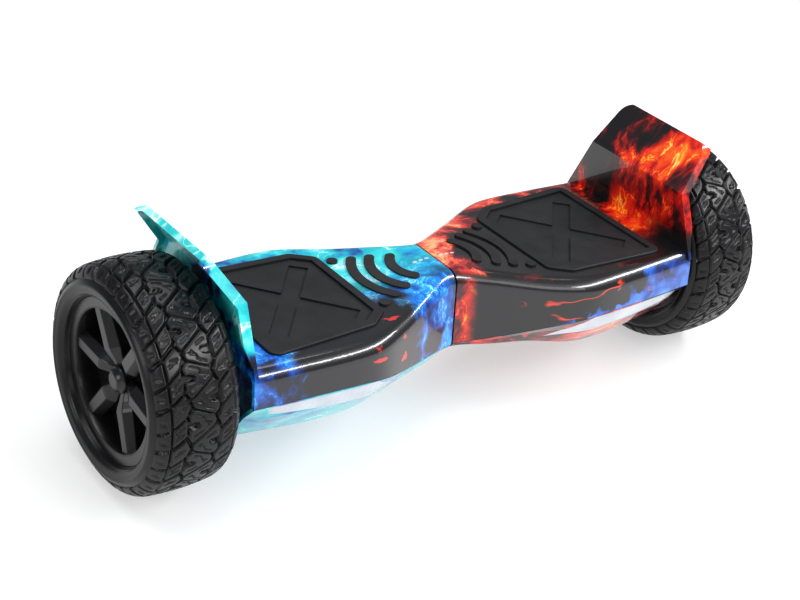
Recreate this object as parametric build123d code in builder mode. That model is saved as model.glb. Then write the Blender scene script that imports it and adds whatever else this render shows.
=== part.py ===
from build123d import *
from math import cos, degrees, atan2, hypot, pi, radians, sin, sqrt
import os

# Two-wheeled self-balancing board, in millimetres.
# X runs along the wheel axle, -Y is the front, +Z is up and the ground is z = 0.
# Each half is drawn on the +X side; the left half is its mirror image.
# Heights named RISE are measured from the wheel axle, negative below it.

# Wheels
TYRE_RADIUS = 108.0
TYRE_WIDTH = 89.0
TYRE_WALL = 7.0
TREAD_THICKNESS = 11.0
SHOULDER_DROP = 10.0
SHOULDER_WIDTH = 9.0
CROWN_START = 24.0
BEAD_RISE = 2.0
BEAD_WIDTH = 13.0
WALL_RISE = 12.0
RIM_LIP_RADIUS = 77.0
RIM_SEAT_RADIUS = 71.0
RIM_BORE_RADIUS = 68.0
RIM_HALF_WIDTH = 34.0
RIM_LIP_THICKNESS = 3.0
ROTOR_BORE_RADIUS = 63.5
CAP_NOSE = 29.0
SPOKE_COUNT = 6
SPOKE_WIDTH = 20.0
SPOKE_TURN = 0.1
CAP_GAP = 0.1
CAP_WALL = 3.0
CAP_SEAT = 16.0
CAP_SEAT_LENGTH = 16.0
NOSE_RADIUS = 8.0
NECK_RADIUS = 13.0
NECK_DIP = 7.0
BLADE_FACE = 30.0
BLADE_KNEE = 27.0
BLADE_BACK = 17.0

# Hub motor
AXLE_RADIUS = 8.0
AXLE_SHOULDER_RADIUS = 9.8
BEARING_RADIUS = 16.0
BEARING_WIDTH = 9.0
BEARING_WALL = 5.0
INNER_BEARING = -35.0
OUTER_BEARING = 7.0
DISC_START = 10.0
DISC_THICKNESS = 3.5
AXLE_END_GAP = 0.5
AXLE_WIRE_RADIUS = 3.5
AXLE_WIRE_DEPTH = 30.0
MAGNET_COUNT = 30
MAGNET_THICKNESS = 4.0
MAGNET_GLUE = 0.3
AIR_GAP = 0.8
COVER_RADIUS = 68.8
COVER_THICKNESS = 3.0
COVER_SLANT = 3.5
COVER_RISE = 9.0
SLOT_COUNT = 27
STATOR_WIDTH = 24.0
STATOR_OFFSET = -8.0
TOOTH_WIDTH = 4.0
COIL_THICKNESS = 1.8
COIL_LENGTH = 10.0
COIL_TO_YOKE = 3.0
YOKE_SHARE = 0.62
YOKE_HOLE_COUNT = 6
YOKE_HOLE_RADIUS = 7.0
POLE_SHARE = 0.78

# Body of each half
SEAM_HALF_GAP = 1.0
BODY_END_X = 266.0
WHEEL_GAP = 10.0
WAIST_HALF_DEPTH = 45.0
FLARE_START_X = 9.0
FLARE_SLOPE = 0.545
END_HALF_DEPTH = 99.2
END_SLOPE = 0.073
WAIST_DECK_RISE = 46.0
DECK_RISE = 38.0
DECK_FALL_START_X = 19.0
DECK_FALL_SLOPE = 0.125
WAIST_PARTING_RISE = -31.5
END_PARTING_RISE = 1.5
PARTING_START_X = 12.0
PARTING_SLOPE = 0.266
WAIST_KEEL_RISE = -36.0
END_KEEL_RISE = -50.0
FACE_LEAN = 0.085
DECK_EDGE_RADIUS = 15.0
KEEL_EDGE_RADIUS = 6.0
OUTLINE_BLEND = 14.0
HEIGHT_BLEND = 5.0
DECK_BLEND = 1.7
WALL = 3.0
END_WALL = 4.0
END_POCKET = 12.0
PARTING_GAP = 0.4
SEAT_GAP = 0.3
FIT_GAP = 0.2
LOFT_STEPS = 14
KEEL_DROP_XS = (61.0, 160.0)
KEEL_PULL = 4.0
FLARE_PULL = 28.0
END_PULL = 6.0
PULL_XS = (20.0, 150.0)
END_PULL_START_X = 180.0
SHOULDER_SHARE = 0.36
SHOULDER_BULGE = 7.0
SHOULDER_SINK = 2.0
SHOULDER_END_SINK = 8.0
SHOULDER_FULL_X = 150.0

# Mudguard over each wheel
GUARD_CREASE_UNDER_TYRE_TOP = 14.0
GUARD_TOP_OVER_TYRE_TOP = 31.0
GUARD_FLARE = 33.0
GUARD_DEPTH = 10.0
GUARD_BASE_HALF = 97.0
GUARD_CREASE_HALF = 69.0
GUARD_TOP_HALF = 60.0
GUARD_CORNER_RADIUS = 15.0

# Foot pad
PAD_INNER_X = 100.0
PAD_SHOULDER_X = 122.0
PAD_TO_GUARD = 24.5
PAD_INNER_HALF = 57.0
PAD_SHOULDER_HALF = 74.0
PAD_OUTER_HALF = 80.5
PAD_RIM_ABOVE_DECK = 2.5
PAD_RIM_WIDTH = 9.0
PAD_DISH = 2.6
PAD_CORNER_RADIUS = 10.0
PAD_EDGE_RADIUS = 1.5
PAD_TRAVEL = 1.2
PAD_FLOOR_DEPTH = 6.0
PAD_GAP = 0.4
CROSS_ARM_WIDTH = 19.0
CROSS_DEPTH = 2.0
CROSS_SHARE = 0.66
CROSS_TURN = 2.0
POST_RADIUS = 5.0
POST_SPACING = 44.0

# Rubber inlays of the deck
STRIP_WIDTH = 10.0
STRIP_ENDS = ((73.0, 37.0), (56.5, 30.0), (38.5, 20.5))
STRIP_BOW = (13.0, 11.0, 8.0)
DOT_X = 90.5
DOT_Y = 44.0
DOT_RADIUS = 5.5
INLAY_PROUD = 1.8
INLAY_SINK = 1.2
INLAY_GAP = 0.1
INLAY_FLOOR_GAP = 0.15
LENS_PROUD = 0.2
POCKET_DEPTH = 2.0
POCKET_HEADROOM = 10.0
INDICATOR_XS = (9.0, 16.0, 23.0)
INDICATOR_LENGTH = 5.0
INDICATOR_WIDTH = 2.6

# Front lamp
LAMP_TIP_X = 94.0
LAMP_TO_END = 18.0
LAMP_BREAK_X = 134.0
LAMP_TIP_RISE = -29.0
LAMP_FOOT_RISE = -11.0
LAMP_TOP_DROP = 2.2
LAMP_TOP_SLANT = 1.0
LAMP_STRIP_GAP = 0.4
LAMP_STRIP_THICKNESS = 1.4

# Cast frame of each half
PLATE_RISE = -16.0
PLATE_THICKNESS = 6.0
BOSS_RADIUS = 24.0
BOSS_START_X = 5.0
BOSS_END_X = 61.0
CLAMP_TO_WALL = 3.0
CLAMP_LENGTH = 34.0
CLAMP_HALF_WIDTH = 32.0
CLAMP_TOP_RISE = 16.0
CLAMP_SPLIT = 0.6
RIB_SPACING = 54.0
RIB_THICKNESS = 4.0
RIB_TOP_RISE = 4.0
RIB_TO_BOSS = 20.0
PLATE_WAIST_HALF = 20.0
PLATE_NECK = (10.0, 48.0)
PLATE_SHOULDER = (-8.0, 70.0)
PLATE_END_HALF = 80.0
BOARD_POST_RADIUS = 3.0
BOARD_POST_INSET = 4.0
MAIN_POST_RADIUS = 3.5
MAIN_POST_INSET = 5.0
BOLT_INSET = 8.0
BOLT_REACH = 12.0
BOLT_HEAD_HEIGHT = 5.0
BOLT_KEY_RADIUS = 2.4
BOLT_KEY_DEPTH = 3.0
CLAMP_CORNER_RADIUS = 5.0
CLAMP_BOLT_RADIUS = 3.0
CLAMP_BOLT_HEAD = 5.0
SCREW_RADIUS = 2.0
SCREW_HEAD_RADIUS = 3.6
SCREW_HEAD_HEIGHT = 2.8
SCREW_GAP = 0.05
SCREW_TIP_GAP = 4.0
DECK_POST_RADIUS = 5.0
BELLY_BOSS_RADIUS = 5.5
WAIST_SCREW = (70.0, 30.0)
MIDDLE_SCREW = (130.0, 62.0)
END_SCREW_TO_WALL = 29.0
END_SCREW_Y = 56.0
WAIST_DECK_SCREW = (74.0, 40.0)
END_DECK_SCREW_TO_WALL = 7.0
END_DECK_SCREW_Y = 74.0
HEAD_RECESS = 8.0
RECESS_REACH = 30.0
DECK_SCREW_LENGTH = 18.0
BOARD_RISE = 14.0
BOARD_THICKNESS = 1.6
BOARD_SIZE = (78.0, 44.0)
GYRO_CHIP = (6.0, 6.0, 1.0)
GYRO_CHIP_Y = 12.0
GYRO_PLUG = (14.0, 6.0, 5.0)
GYRO_PLUG_Y = -14.0
SENSOR_SIZE = (16.0, 8.0, 9.0)
SENSOR_SLOT = 5.0
SENSOR_FLOOR = 2.0
FLAG_THICKNESS = 2.0
FLAG_WIDTH = 6.0
FLAG_FOOT_GAP = 5.0
POST_FOOT_GAP = 0.5

# Pivot between the halves
SHAFT_RADIUS = 17.0
SHAFT_BORE_RADIUS = 13.0
BUSH_WALL = 2.0
BUSH_LENGTH = 14.0
RUNNING_GAP = 0.05
RING_THICKNESS = 2.0
RING_RADIUS = 20.0
RING_GROOVE = 1.5
RING_BITE = 1.0
RING_SLIT = 4.0
SHAFT_STANDOUT = 6.0
STOP_GAP = 0.6
GROMMET_LENGTH = 6.0
PIN_RADIUS = 3.0
PIN_X = 32.0
TWIST_LIMIT = 10.0
CABLE_RADIUS = 5.0
CABLE_HALF_LENGTH = 90.0
CABLE_IN_PLUG = 6.0
PLUG_SIZE = (18.0, 16.0, 17.0)

# Power parts
BATTERY_TO_WALL = 19.0
BATTERY_LENGTH = 106.0
BATTERY_WIDTH = 100.0
BATTERY_HEIGHT = 26.0
BATTERY_EDGE_RADIUS = 5.0
HEAT_SINK = (12.0, 8.0)
HEAT_SINK_X = 22.0
SINK_MARGIN = 16.0
CAPACITOR = (5.0, 12.0)
CAPACITOR_X = 36.0
CAPACITOR_YS = (-20.0, 0.0, 20.0)
BOARD_SOCKET = (12.0, 8.0, 5.0)
BOARD_SOCKET_X = 8.0
BOARD_SOCKET_YS = (-24.0, -8.0, 8.0, 24.0)
MAIN_BOARD_SIZE = (100.0, 84.0)
MAIN_BOARD_RISE = -26.0
PANEL_RISE = 15.0
BUTTON_X = 145.0
SOCKET_X = 180.0
BARREL_RADIUS = 8.0
FLANGE_RADIUS = 11.0
FLANGE_THICKNESS = 2.0
BARREL_LENGTH = 20.0
NUT_THICKNESS = 3.0
BUTTON_RADIUS = 6.0
BUTTON_GAP = 0.08
BUTTON_PROUD = 1.6
BUTTON_SINK = 8.0
BUTTON_TRAVEL = 1.0
BUTTON_FLOOR_GAP = 2.0
PANEL_EDGE_RADIUS = 0.8
PORT_RADIUS = 6.2
PORT_DEPTH = 11.0
PORT_PIN_RADIUS = 0.9
PORT_PIN_COUNT = 3
PORT_PIN_CIRCLE = 3.2
PORT_PIN_LENGTH = 6.0

# Sizes that follow from the ones above
AXLE_Z = TYRE_RADIUS
WAIST_DECK_Z = AXLE_Z + WAIST_DECK_RISE
DECK_Z = AXLE_Z + DECK_RISE
WAIST_PARTING_Z = AXLE_Z + WAIST_PARTING_RISE
END_PARTING_Z = AXLE_Z + END_PARTING_RISE
WAIST_KEEL_Z = AXLE_Z + WAIST_KEEL_RISE
END_KEEL_Z = AXLE_Z + END_KEEL_RISE
GUARD_CREASE_Z = AXLE_Z + TYRE_RADIUS - GUARD_CREASE_UNDER_TYRE_TOP
GUARD_TOP_Z = AXLE_Z + TYRE_RADIUS + GUARD_TOP_OVER_TYRE_TOP
PLATE_Z = AXLE_Z + PLATE_RISE
CLAMP_TOP_Z = AXLE_Z + CLAMP_TOP_RISE
RIB_TOP_Z = AXLE_Z + RIB_TOP_RISE
BOARD_Z = AXLE_Z + BOARD_RISE
MAIN_BOARD_Z = AXLE_Z + MAIN_BOARD_RISE
PANEL_Z = AXLE_Z + PANEL_RISE
WHEEL_X = BODY_END_X + WHEEL_GAP + TYRE_WIDTH / 2
GUARD_FACE_X = BODY_END_X - END_WALL
GUARD_BASE_Z = DECK_Z - DECK_EDGE_RADIUS / 2
END_WALL_X = BODY_END_X - END_POCKET - WALL
PAD_OUTER_X = GUARD_FACE_X - PAD_TO_GUARD
PAD_CENTRE_X = (PAD_INNER_X + PAD_OUTER_X) / 2
PAD_FLOOR_Z = DECK_Z - PAD_FLOOR_DEPTH
PAD_TOP_Z = DECK_Z + PAD_RIM_ABOVE_DECK
PAD_BOTTOM_Z = PAD_FLOOR_Z + PAD_TRAVEL + SEAT_GAP
CLAMP_START_X = END_WALL_X - CLAMP_TO_WALL - CLAMP_LENGTH
LAMP_END_X = BODY_END_X - LAMP_TO_END
BATTERY_CENTRE_X = END_WALL_X - BATTERY_TO_WALL - BATTERY_LENGTH / 2
BELLY_SCREWS = (WAIST_SCREW, MIDDLE_SCREW, (END_WALL_X - END_SCREW_TO_WALL, END_SCREW_Y))
DECK_SCREWS = (WAIST_DECK_SCREW, (END_WALL_X - END_DECK_SCREW_TO_WALL, END_DECK_SCREW_Y))
PLATE_TOP_Z = PLATE_Z + PLATE_THICKNESS
BOARD_TOP_Z = BOARD_Z + BOARD_THICKNESS
BUSH_RADIUS = SHAFT_RADIUS + BUSH_WALL
POCKET_FOOT_Z = DECK_Z - INLAY_SINK - POCKET_DEPTH
POCKET_HEIGHT = WAIST_DECK_Z - DECK_Z + POCKET_HEADROOM
STATOR_RADIUS = ROTOR_BORE_RADIUS - MAGNET_GLUE - MAGNET_THICKNESS - AIR_GAP


# ---------------------------------------------------------------- outline of the body

def ease(x, start, end):
    """Smooth step from 0 at start to 1 at end."""
    t = min(max((x - start) / (end - start), 0.0), 1.0)
    return t * t * (3 - 2 * t)


def soft_min(a, b, blend=OUTLINE_BLEND):
    return (a + b - sqrt((a - b) ** 2 + blend ** 2)) / 2


def soft_max(a, b, blend=OUTLINE_BLEND):
    return (a + b + sqrt((a - b) ** 2 + blend ** 2)) / 2


def half_depth(x):
    """Half the front-to-back depth at the parting line: waist, flare, then a slow taper."""
    flare = soft_max(WAIST_HALF_DEPTH, WAIST_HALF_DEPTH + FLARE_SLOPE * (x - FLARE_START_X), HEIGHT_BLEND)
    return soft_min(flare, END_HALF_DEPTH + END_SLOPE * (BODY_END_X - x))


def deck_height(x):
    fall = WAIST_DECK_Z - DECK_FALL_SLOPE * (x - DECK_FALL_START_X)
    return soft_min(soft_max(DECK_Z, fall, DECK_BLEND), WAIST_DECK_Z, DECK_BLEND)


def parting_height(x):
    rise = WAIST_PARTING_Z + PARTING_SLOPE * (x - PARTING_START_X)
    return soft_min(soft_max(WAIST_PARTING_Z, rise, HEIGHT_BLEND), END_PARTING_Z, HEIGHT_BLEND)


def keel_height(x):
    drop = ease(x, *KEEL_DROP_XS)
    return WAIST_KEEL_Z + (END_KEEL_Z - WAIST_KEEL_Z) * drop


def keel_half_depth(x):
    """The belly pulls in below the parting line, more where the body is wide."""
    pull = KEEL_PULL + FLARE_PULL * ease(x, *PULL_XS) + END_PULL * ease(x, END_PULL_START_X, BODY_END_X)
    return half_depth(x) - pull


def belly_shoulder(x):
    """Point between the parting line and the keel where the belly turns inward."""
    top = (half_depth(x), parting_height(x))
    foot = (keel_half_depth(x), keel_height(x))
    bulge = SHOULDER_BULGE * ease(x, LAMP_TIP_X, SHOULDER_FULL_X) - SHOULDER_SINK
    bulge -= SHOULDER_END_SINK * ease(x, LAMP_END_X - LAMP_TO_END / 2, BODY_END_X)
    depth = top[0] + SHOULDER_SHARE * (foot[0] - top[0]) + bulge * ease(x, 0, LAMP_TIP_X)
    return depth, top[1] + SHOULDER_SHARE * (foot[1] - top[1])


def stations(start, end):
    return [start + (end - start) * step / LOFT_STEPS for step in range(LOFT_STEPS + 1)]


def upper_body(inset, start, end, drop=0.0):
    """Solid between the parting line and the deck, drawn inset from the outer skin."""
    with BuildPart() as body:
        for x in stations(start, end):
            foot = half_depth(x) - inset
            top = deck_height(x)
            brow = half_depth(x) - FACE_LEAN * (top - parting_height(x)) - inset
            bottom = parting_height(x) + PARTING_GAP / 2 - drop
            with BuildSketch(Plane.YZ.offset(x)) as section:
                with BuildLine():
                    Polyline((-foot, bottom), (-brow, top - inset), (brow, top - inset),
                             (foot, bottom), close=True)
                make_face()
                fillet(section.vertices().group_by(Axis.Y)[-1], DECK_EDGE_RADIUS - inset)
        loft()
    return body.part


def lower_body(inset, start, end, rise=0.0):
    """Solid between the keel and the parting line, drawn inset from the outer skin."""
    with BuildPart() as body:
        for x in stations(start, end):
            rim = half_depth(x) - inset
            top = parting_height(x) - PARTING_GAP / 2 + rise
            mid, mid_z = belly_shoulder(x)
            keel = keel_half_depth(x) - inset
            keel_z = keel_height(x) + inset
            with BuildSketch(Plane.YZ.offset(x)) as section:
                with BuildLine():
                    Polyline((-rim, top), (-mid + inset, mid_z), (-keel, keel_z), (keel, keel_z),
                             (mid - inset, mid_z), (rim, top), close=True)
                make_face()
                fillet(section.vertices().group_by(Axis.Y)[0], max(KEEL_EDGE_RADIUS - inset, 1.0))
        loft()
    return body.part


# ---------------------------------------------------------------- helpers

def save(piece, name):
    piece.part.label = name
    export_step(piece.part, f"parts/{name}.step")


def save_pair(right, name):
    """Write the right-hand piece and its mirror image for the left half."""
    save(right, f"right_{name}")
    with BuildPart() as left:
        mirror(right.part, about=Plane.YZ, mode=Mode.ADD)
    save(left, f"left_{name}")


def across(x):
    """Sketch plane square to the axle, with its origin on the axle line."""
    return Plane(origin=(x, 0, AXLE_Z), x_dir=(0, 1, 0), z_dir=(1, 0, 0))


def along():
    """Sketch plane through the axle: local x along the axle from the wheel's centre, y outward."""
    return Plane(origin=(WHEEL_X, 0, AXLE_Z), x_dir=(1, 0, 0), z_dir=(0, -1, 0))


def wheel_axis():
    return Axis((WHEEL_X, 0, AXLE_Z), (1, 0, 0))


def corners(points):
    """The four mirror positions of each point given for one half, front and back."""
    return [(x, side * y) for x, y in points for side in (1, -1)]


# ---------------------------------------------------------------- top cover

def pad_outline(grow):
    with BuildSketch(mode=Mode.PRIVATE) as outline:
        with BuildLine():
            Polyline((PAD_INNER_X, -PAD_INNER_HALF), (PAD_SHOULDER_X, -PAD_SHOULDER_HALF),
                     (PAD_OUTER_X, -PAD_OUTER_HALF), (PAD_OUTER_X, PAD_OUTER_HALF),
                     (PAD_SHOULDER_X, PAD_SHOULDER_HALF), (PAD_INNER_X, PAD_INNER_HALF), close=True)
        make_face()
        fillet(outline.vertices(), PAD_CORNER_RADIUS)
        if grow:
            offset(amount=grow, mode=Mode.REPLACE)
    return outline.sketch


def strips_outline(grow):
    with BuildSketch(mode=Mode.PRIVATE) as outline:
        for (x, half), bow in zip(STRIP_ENDS, STRIP_BOW):
            with BuildLine(mode=Mode.PRIVATE) as spine:
                ThreePointArc((x, -half), (x + bow, 0), (x, half))
            SlotArc(arc=spine.edges()[0], height=STRIP_WIDTH + 2 * grow)
    return outline.sketch


def dots_outline(grow):
    with BuildSketch(mode=Mode.PRIVATE) as outline:
        with Locations((DOT_X, -DOT_Y), (DOT_X, DOT_Y)):
            Circle(DOT_RADIUS + grow)
    return outline.sketch


def indicators_outline(grow):
    with BuildSketch(mode=Mode.PRIVATE) as outline:
        with Locations([(x, 0) for x in INDICATOR_XS]):
            SlotOverall(INDICATOR_LENGTH + 2 * grow, INDICATOR_WIDTH + 2 * grow)
    return outline.sketch


def guard_outline(inset):
    """Mudguard seen along the axle."""
    with BuildSketch(Plane.YZ, mode=Mode.PRIVATE) as outline:
        with BuildLine():
            Polyline((-GUARD_BASE_HALF + inset, GUARD_BASE_Z), (-GUARD_CREASE_HALF + inset, GUARD_CREASE_Z),
                     (-GUARD_TOP_HALF + inset, GUARD_TOP_Z - inset),
                     (GUARD_TOP_HALF - inset, GUARD_TOP_Z - inset),
                     (GUARD_CREASE_HALF - inset, GUARD_CREASE_Z), (GUARD_BASE_HALF - inset, GUARD_BASE_Z),
                     close=True)
        make_face()
        fillet(outline.vertices().group_by(Axis.Y)[-1], GUARD_CORNER_RADIUS - inset)
    return outline.sketch


def guard_profile(near, far, toe):
    """Mudguard seen from the front, between two depths behind its inner face.

    toe lists the points that close the profile from the outer bend back to the base.
    """
    flare_angle = atan2(GUARD_TOP_Z - GUARD_CREASE_Z, GUARD_FLARE)
    normal = (sin(flare_angle), -cos(flare_angle))
    bend = (1 - sin(flare_angle)) / cos(flare_angle)
    top_x = GUARD_FACE_X + GUARD_FLARE
    points = [(GUARD_FACE_X + near, GUARD_BASE_Z), (GUARD_FACE_X + near, GUARD_CREASE_Z - near * bend),
              (top_x + near * normal[0], GUARD_TOP_Z + near * normal[1]),
              (top_x + far * normal[0], GUARD_TOP_Z + far * normal[1]),
              (GUARD_FACE_X + far, GUARD_CREASE_Z - far * bend)]
    with BuildSketch(Plane.XZ, mode=Mode.PRIVATE) as profile:
        with BuildLine():
            Polyline(*points, *toe, close=True)
        make_face()
    return profile.sketch


def mudguard():
    with BuildPart() as pocket:
        over = GUARD_DEPTH + WALL
        extrude(guard_profile(END_WALL, over, [(GUARD_FACE_X + over, GUARD_BASE_Z)]),
                amount=GUARD_BASE_HALF, both=True)
        extrude(guard_outline(END_WALL), amount=2 * BODY_END_X, mode=Mode.INTERSECT)
    with BuildPart() as guard:
        toe = [(GUARD_FACE_X + GUARD_DEPTH, GUARD_BASE_Z + 3 * GUARD_DEPTH),
               (BODY_END_X, GUARD_BASE_Z + GUARD_DEPTH), (BODY_END_X, GUARD_BASE_Z)]
        extrude(guard_profile(0, GUARD_DEPTH, toe), amount=GUARD_BASE_HALF, both=True)
        extrude(guard_outline(0), amount=2 * BODY_END_X, mode=Mode.INTERSECT)
        add(pocket.part, mode=Mode.SUBTRACT)
    return guard.part


def inlay_sockets():
    """Shallow pockets that hold the rubber strips, the dots and the indicator lenses."""
    with BuildPart() as sockets:
        for outline in (strips_outline(INLAY_GAP), dots_outline(INLAY_GAP), indicators_outline(INLAY_GAP)):
            with BuildSketch(Plane.XY.offset(POCKET_FOOT_Z)):
                add(outline)
            extrude(amount=POCKET_HEIGHT)
        add(upper_body(INLAY_SINK, SEAM_HALF_GAP, BODY_END_X), mode=Mode.SUBTRACT)
    return sockets.part


def panel_face_y(x):
    return half_depth(x) - FACE_LEAN * (PANEL_Z - parting_height(x)) - FLANGE_THICKNESS


def rear_plane(x, y):
    """Sketch plane facing backward at a panel part, its origin on that part's axis."""
    return Plane(origin=(x, y, PANEL_Z), x_dir=(1, 0, 0), z_dir=(0, 1, 0))


def top_cover(with_panel):
    with BuildPart() as cover:
        add(upper_body(0, SEAM_HALF_GAP, BODY_END_X))
        add(upper_body(WALL, SEAM_HALF_GAP + WALL, END_WALL_X, drop=1), mode=Mode.SUBTRACT)
        add(upper_body(END_WALL, END_WALL_X + WALL, BODY_END_X + 1, drop=1), mode=Mode.SUBTRACT)
        add(mudguard())
        with BuildSketch(Plane.XY.offset(PAD_FLOOR_Z - WALL)):
            add(pad_outline(PAD_GAP + WALL))
        extrude(amount=PAD_FLOOR_DEPTH + WALL - 1)
        for x, y in corners(DECK_SCREWS):
            post_top = deck_height(x) - WALL / 2
            with Locations((x, y, (PLATE_TOP_Z + post_top) / 2)):
                Cylinder(DECK_POST_RADIUS, post_top - PLATE_TOP_Z)
        with BuildSketch(Plane.XY.offset(PAD_FLOOR_Z)):
            add(pad_outline(PAD_GAP))
        extrude(amount=PAD_FLOOR_DEPTH + 4, mode=Mode.SUBTRACT)
        with BuildSketch(Plane.XY.offset(PAD_FLOOR_Z)):
            with Locations([(PAD_CENTRE_X + side * POST_SPACING / 2, 0) for side in (-1, 1)]):
                Circle(POST_RADIUS + PAD_GAP)
        extrude(amount=-WALL, mode=Mode.SUBTRACT)
        with BuildSketch(Plane.XY.offset(PLATE_TOP_Z)):
            with Locations(corners(DECK_SCREWS)):
                Circle(SCREW_RADIUS + SCREW_GAP)
        extrude(amount=DECK_SCREW_LENGTH - PLATE_THICKNESS + SCREW_TIP_GAP, mode=Mode.SUBTRACT)
        add(inlay_sockets(), mode=Mode.SUBTRACT)
        with BuildSketch(across(0)):
            Circle(SHAFT_RADIUS + 2)
        extrude(amount=SEAM_HALF_GAP + WALL + 1, mode=Mode.SUBTRACT)
        with BuildSketch(across(END_WALL_X - 1)):
            Circle(AXLE_SHOULDER_RADIUS + 2)
        extrude(amount=WALL + 2, mode=Mode.SUBTRACT)
        if with_panel:
            for x in (BUTTON_X, SOCKET_X):
                seat = panel_face_y(x)
                with BuildSketch(rear_plane(x, seat - WALL)):
                    Circle(FLANGE_RADIUS + 2)
                extrude(amount=WALL)
                with BuildSketch(rear_plane(x, seat)):
                    Circle(FLANGE_RADIUS + FIT_GAP)
                extrude(amount=2 * FLANGE_THICKNESS, mode=Mode.SUBTRACT)
                with BuildSketch(rear_plane(x, seat - 2 * WALL)):
                    Circle(BARREL_RADIUS + FIT_GAP)
                extrude(amount=3 * WALL, mode=Mode.SUBTRACT)
    return cover


# ---------------------------------------------------------------- bottom cover and lamp

def lamp_window(margin):
    """Lamp seen from the front: a blade that narrows to a point toward the waist."""
    top = END_PARTING_Z - LAMP_TOP_DROP
    tip = AXLE_Z + LAMP_TIP_RISE
    foot = AXLE_Z + LAMP_FOOT_RISE
    with BuildPart() as window:
        with BuildSketch(Plane.XZ):
            with BuildLine():
                Polyline((LAMP_TIP_X, tip), (LAMP_END_X, foot), (LAMP_END_X, top),
                         (LAMP_BREAK_X, top - LAMP_TOP_SLANT), close=True)
            make_face()
            if margin:
                offset(amount=margin, kind=Kind.INTERSECTION, mode=Mode.REPLACE)
        extrude(amount=2 * END_HALF_DEPTH)
    return window.part


def lamp_shell(outer, inner, margin):
    with BuildPart() as shell:
        add(lower_body(outer, SEAM_HALF_GAP, END_WALL_X))
        add(lower_body(inner, SEAM_HALF_GAP - 1, END_WALL_X + 1, rise=1), mode=Mode.SUBTRACT)
        add(lamp_window(margin), mode=Mode.INTERSECT)
    return shell


def bottom_cover():
    with BuildPart() as cover:
        add(lower_body(0, SEAM_HALF_GAP, BODY_END_X))
        add(lower_body(WALL, SEAM_HALF_GAP + WALL, END_WALL_X, rise=1), mode=Mode.SUBTRACT)
        add(lower_body(END_WALL, END_WALL_X + WALL, BODY_END_X + 1, rise=1), mode=Mode.SUBTRACT)
        for x, y in corners(BELLY_SCREWS):
            base = keel_height(x) + WALL / 2
            with Locations((x, y, (base + PLATE_Z) / 2)):
                Cylinder(BELLY_BOSS_RADIUS, PLATE_Z - base)
        for x, y in corners(BELLY_SCREWS):
            with Locations((x, y, keel_height(x) + HEAD_RECESS - RECESS_REACH)):
                Cylinder(SCREW_HEAD_RADIUS + FIT_GAP, 2 * RECESS_REACH, mode=Mode.SUBTRACT)
            with Locations((x, y, PLATE_Z)):
                Cylinder(SCREW_RADIUS + SCREW_GAP, 2 * RECESS_REACH, mode=Mode.SUBTRACT)
        add(lamp_window(INLAY_GAP), mode=Mode.SUBTRACT)
        with BuildSketch(across(END_WALL_X - 1)):
            Circle(AXLE_SHOULDER_RADIUS + 2)
        extrude(amount=WALL + 2, mode=Mode.SUBTRACT)
    return cover


def belly_screws():
    with BuildPart() as screws:
        for x, y in corners(BELLY_SCREWS):
            seat = keel_height(x) + HEAD_RECESS
            with Locations((x, y, seat - SCREW_HEAD_HEIGHT / 2)):
                Cylinder(SCREW_HEAD_RADIUS, SCREW_HEAD_HEIGHT)
            with Locations((x, y, (seat + PLATE_TOP_Z - 1) / 2)):
                Cylinder(SCREW_RADIUS, PLATE_TOP_Z - 1 - seat)
    return screws


def deck_screws():
    with BuildPart() as screws:
        for x, y in corners(DECK_SCREWS):
            with Locations((x, y, PLATE_Z - SCREW_HEAD_HEIGHT / 2)):
                Cylinder(SCREW_HEAD_RADIUS, SCREW_HEAD_HEIGHT)
            with Locations((x, y, PLATE_Z + DECK_SCREW_LENGTH / 2)):
                Cylinder(SCREW_RADIUS, DECK_SCREW_LENGTH)
    return screws


# ---------------------------------------------------------------- foot pad and inlays

def foot_pad():
    with BuildPart() as pad:
        with BuildSketch(Plane.XY.offset(PAD_BOTTOM_Z)):
            add(pad_outline(0))
        extrude(amount=PAD_TOP_Z - PAD_BOTTOM_Z)
        fillet(pad.faces().sort_by(Axis.Z)[-1].edges(), PAD_EDGE_RADIUS)
        with BuildSketch(Plane.XY.offset(PAD_TOP_Z)):
            add(pad_outline(-PAD_RIM_WIDTH))
        extrude(amount=-PAD_DISH, mode=Mode.SUBTRACT)
        reach = hypot(PAD_OUTER_X - PAD_INNER_X, 2 * PAD_SHOULDER_HALF)
        slant = degrees(atan2(2 * PAD_SHOULDER_HALF, PAD_OUTER_X - PAD_INNER_X)) + CROSS_TURN
        with BuildSketch(Plane.XY.offset(PAD_TOP_Z - PAD_DISH)):
            for turn in (slant, -slant):
                with Locations(Location((PAD_CENTRE_X, 0, 0), (0, 0, turn))):
                    Rectangle(CROSS_SHARE * reach, CROSS_ARM_WIDTH)
        extrude(amount=-CROSS_DEPTH, mode=Mode.SUBTRACT)
        for side in (-1, 1):
            x = PAD_CENTRE_X + side * POST_SPACING / 2
            flag_foot = BOARD_TOP_Z + FLAG_FOOT_GAP
            post_foot = BOARD_TOP_Z + SENSOR_SIZE[2] + PAD_TRAVEL + POST_FOOT_GAP
            with Locations((x, 0, (post_foot + PAD_BOTTOM_Z) / 2)):
                Cylinder(POST_RADIUS, PAD_BOTTOM_Z - post_foot)
            with Locations((x, 0, (flag_foot + post_foot) / 2)):
                Box(FLAG_THICKNESS, FLAG_WIDTH, post_foot - flag_foot)
    return pad


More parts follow.
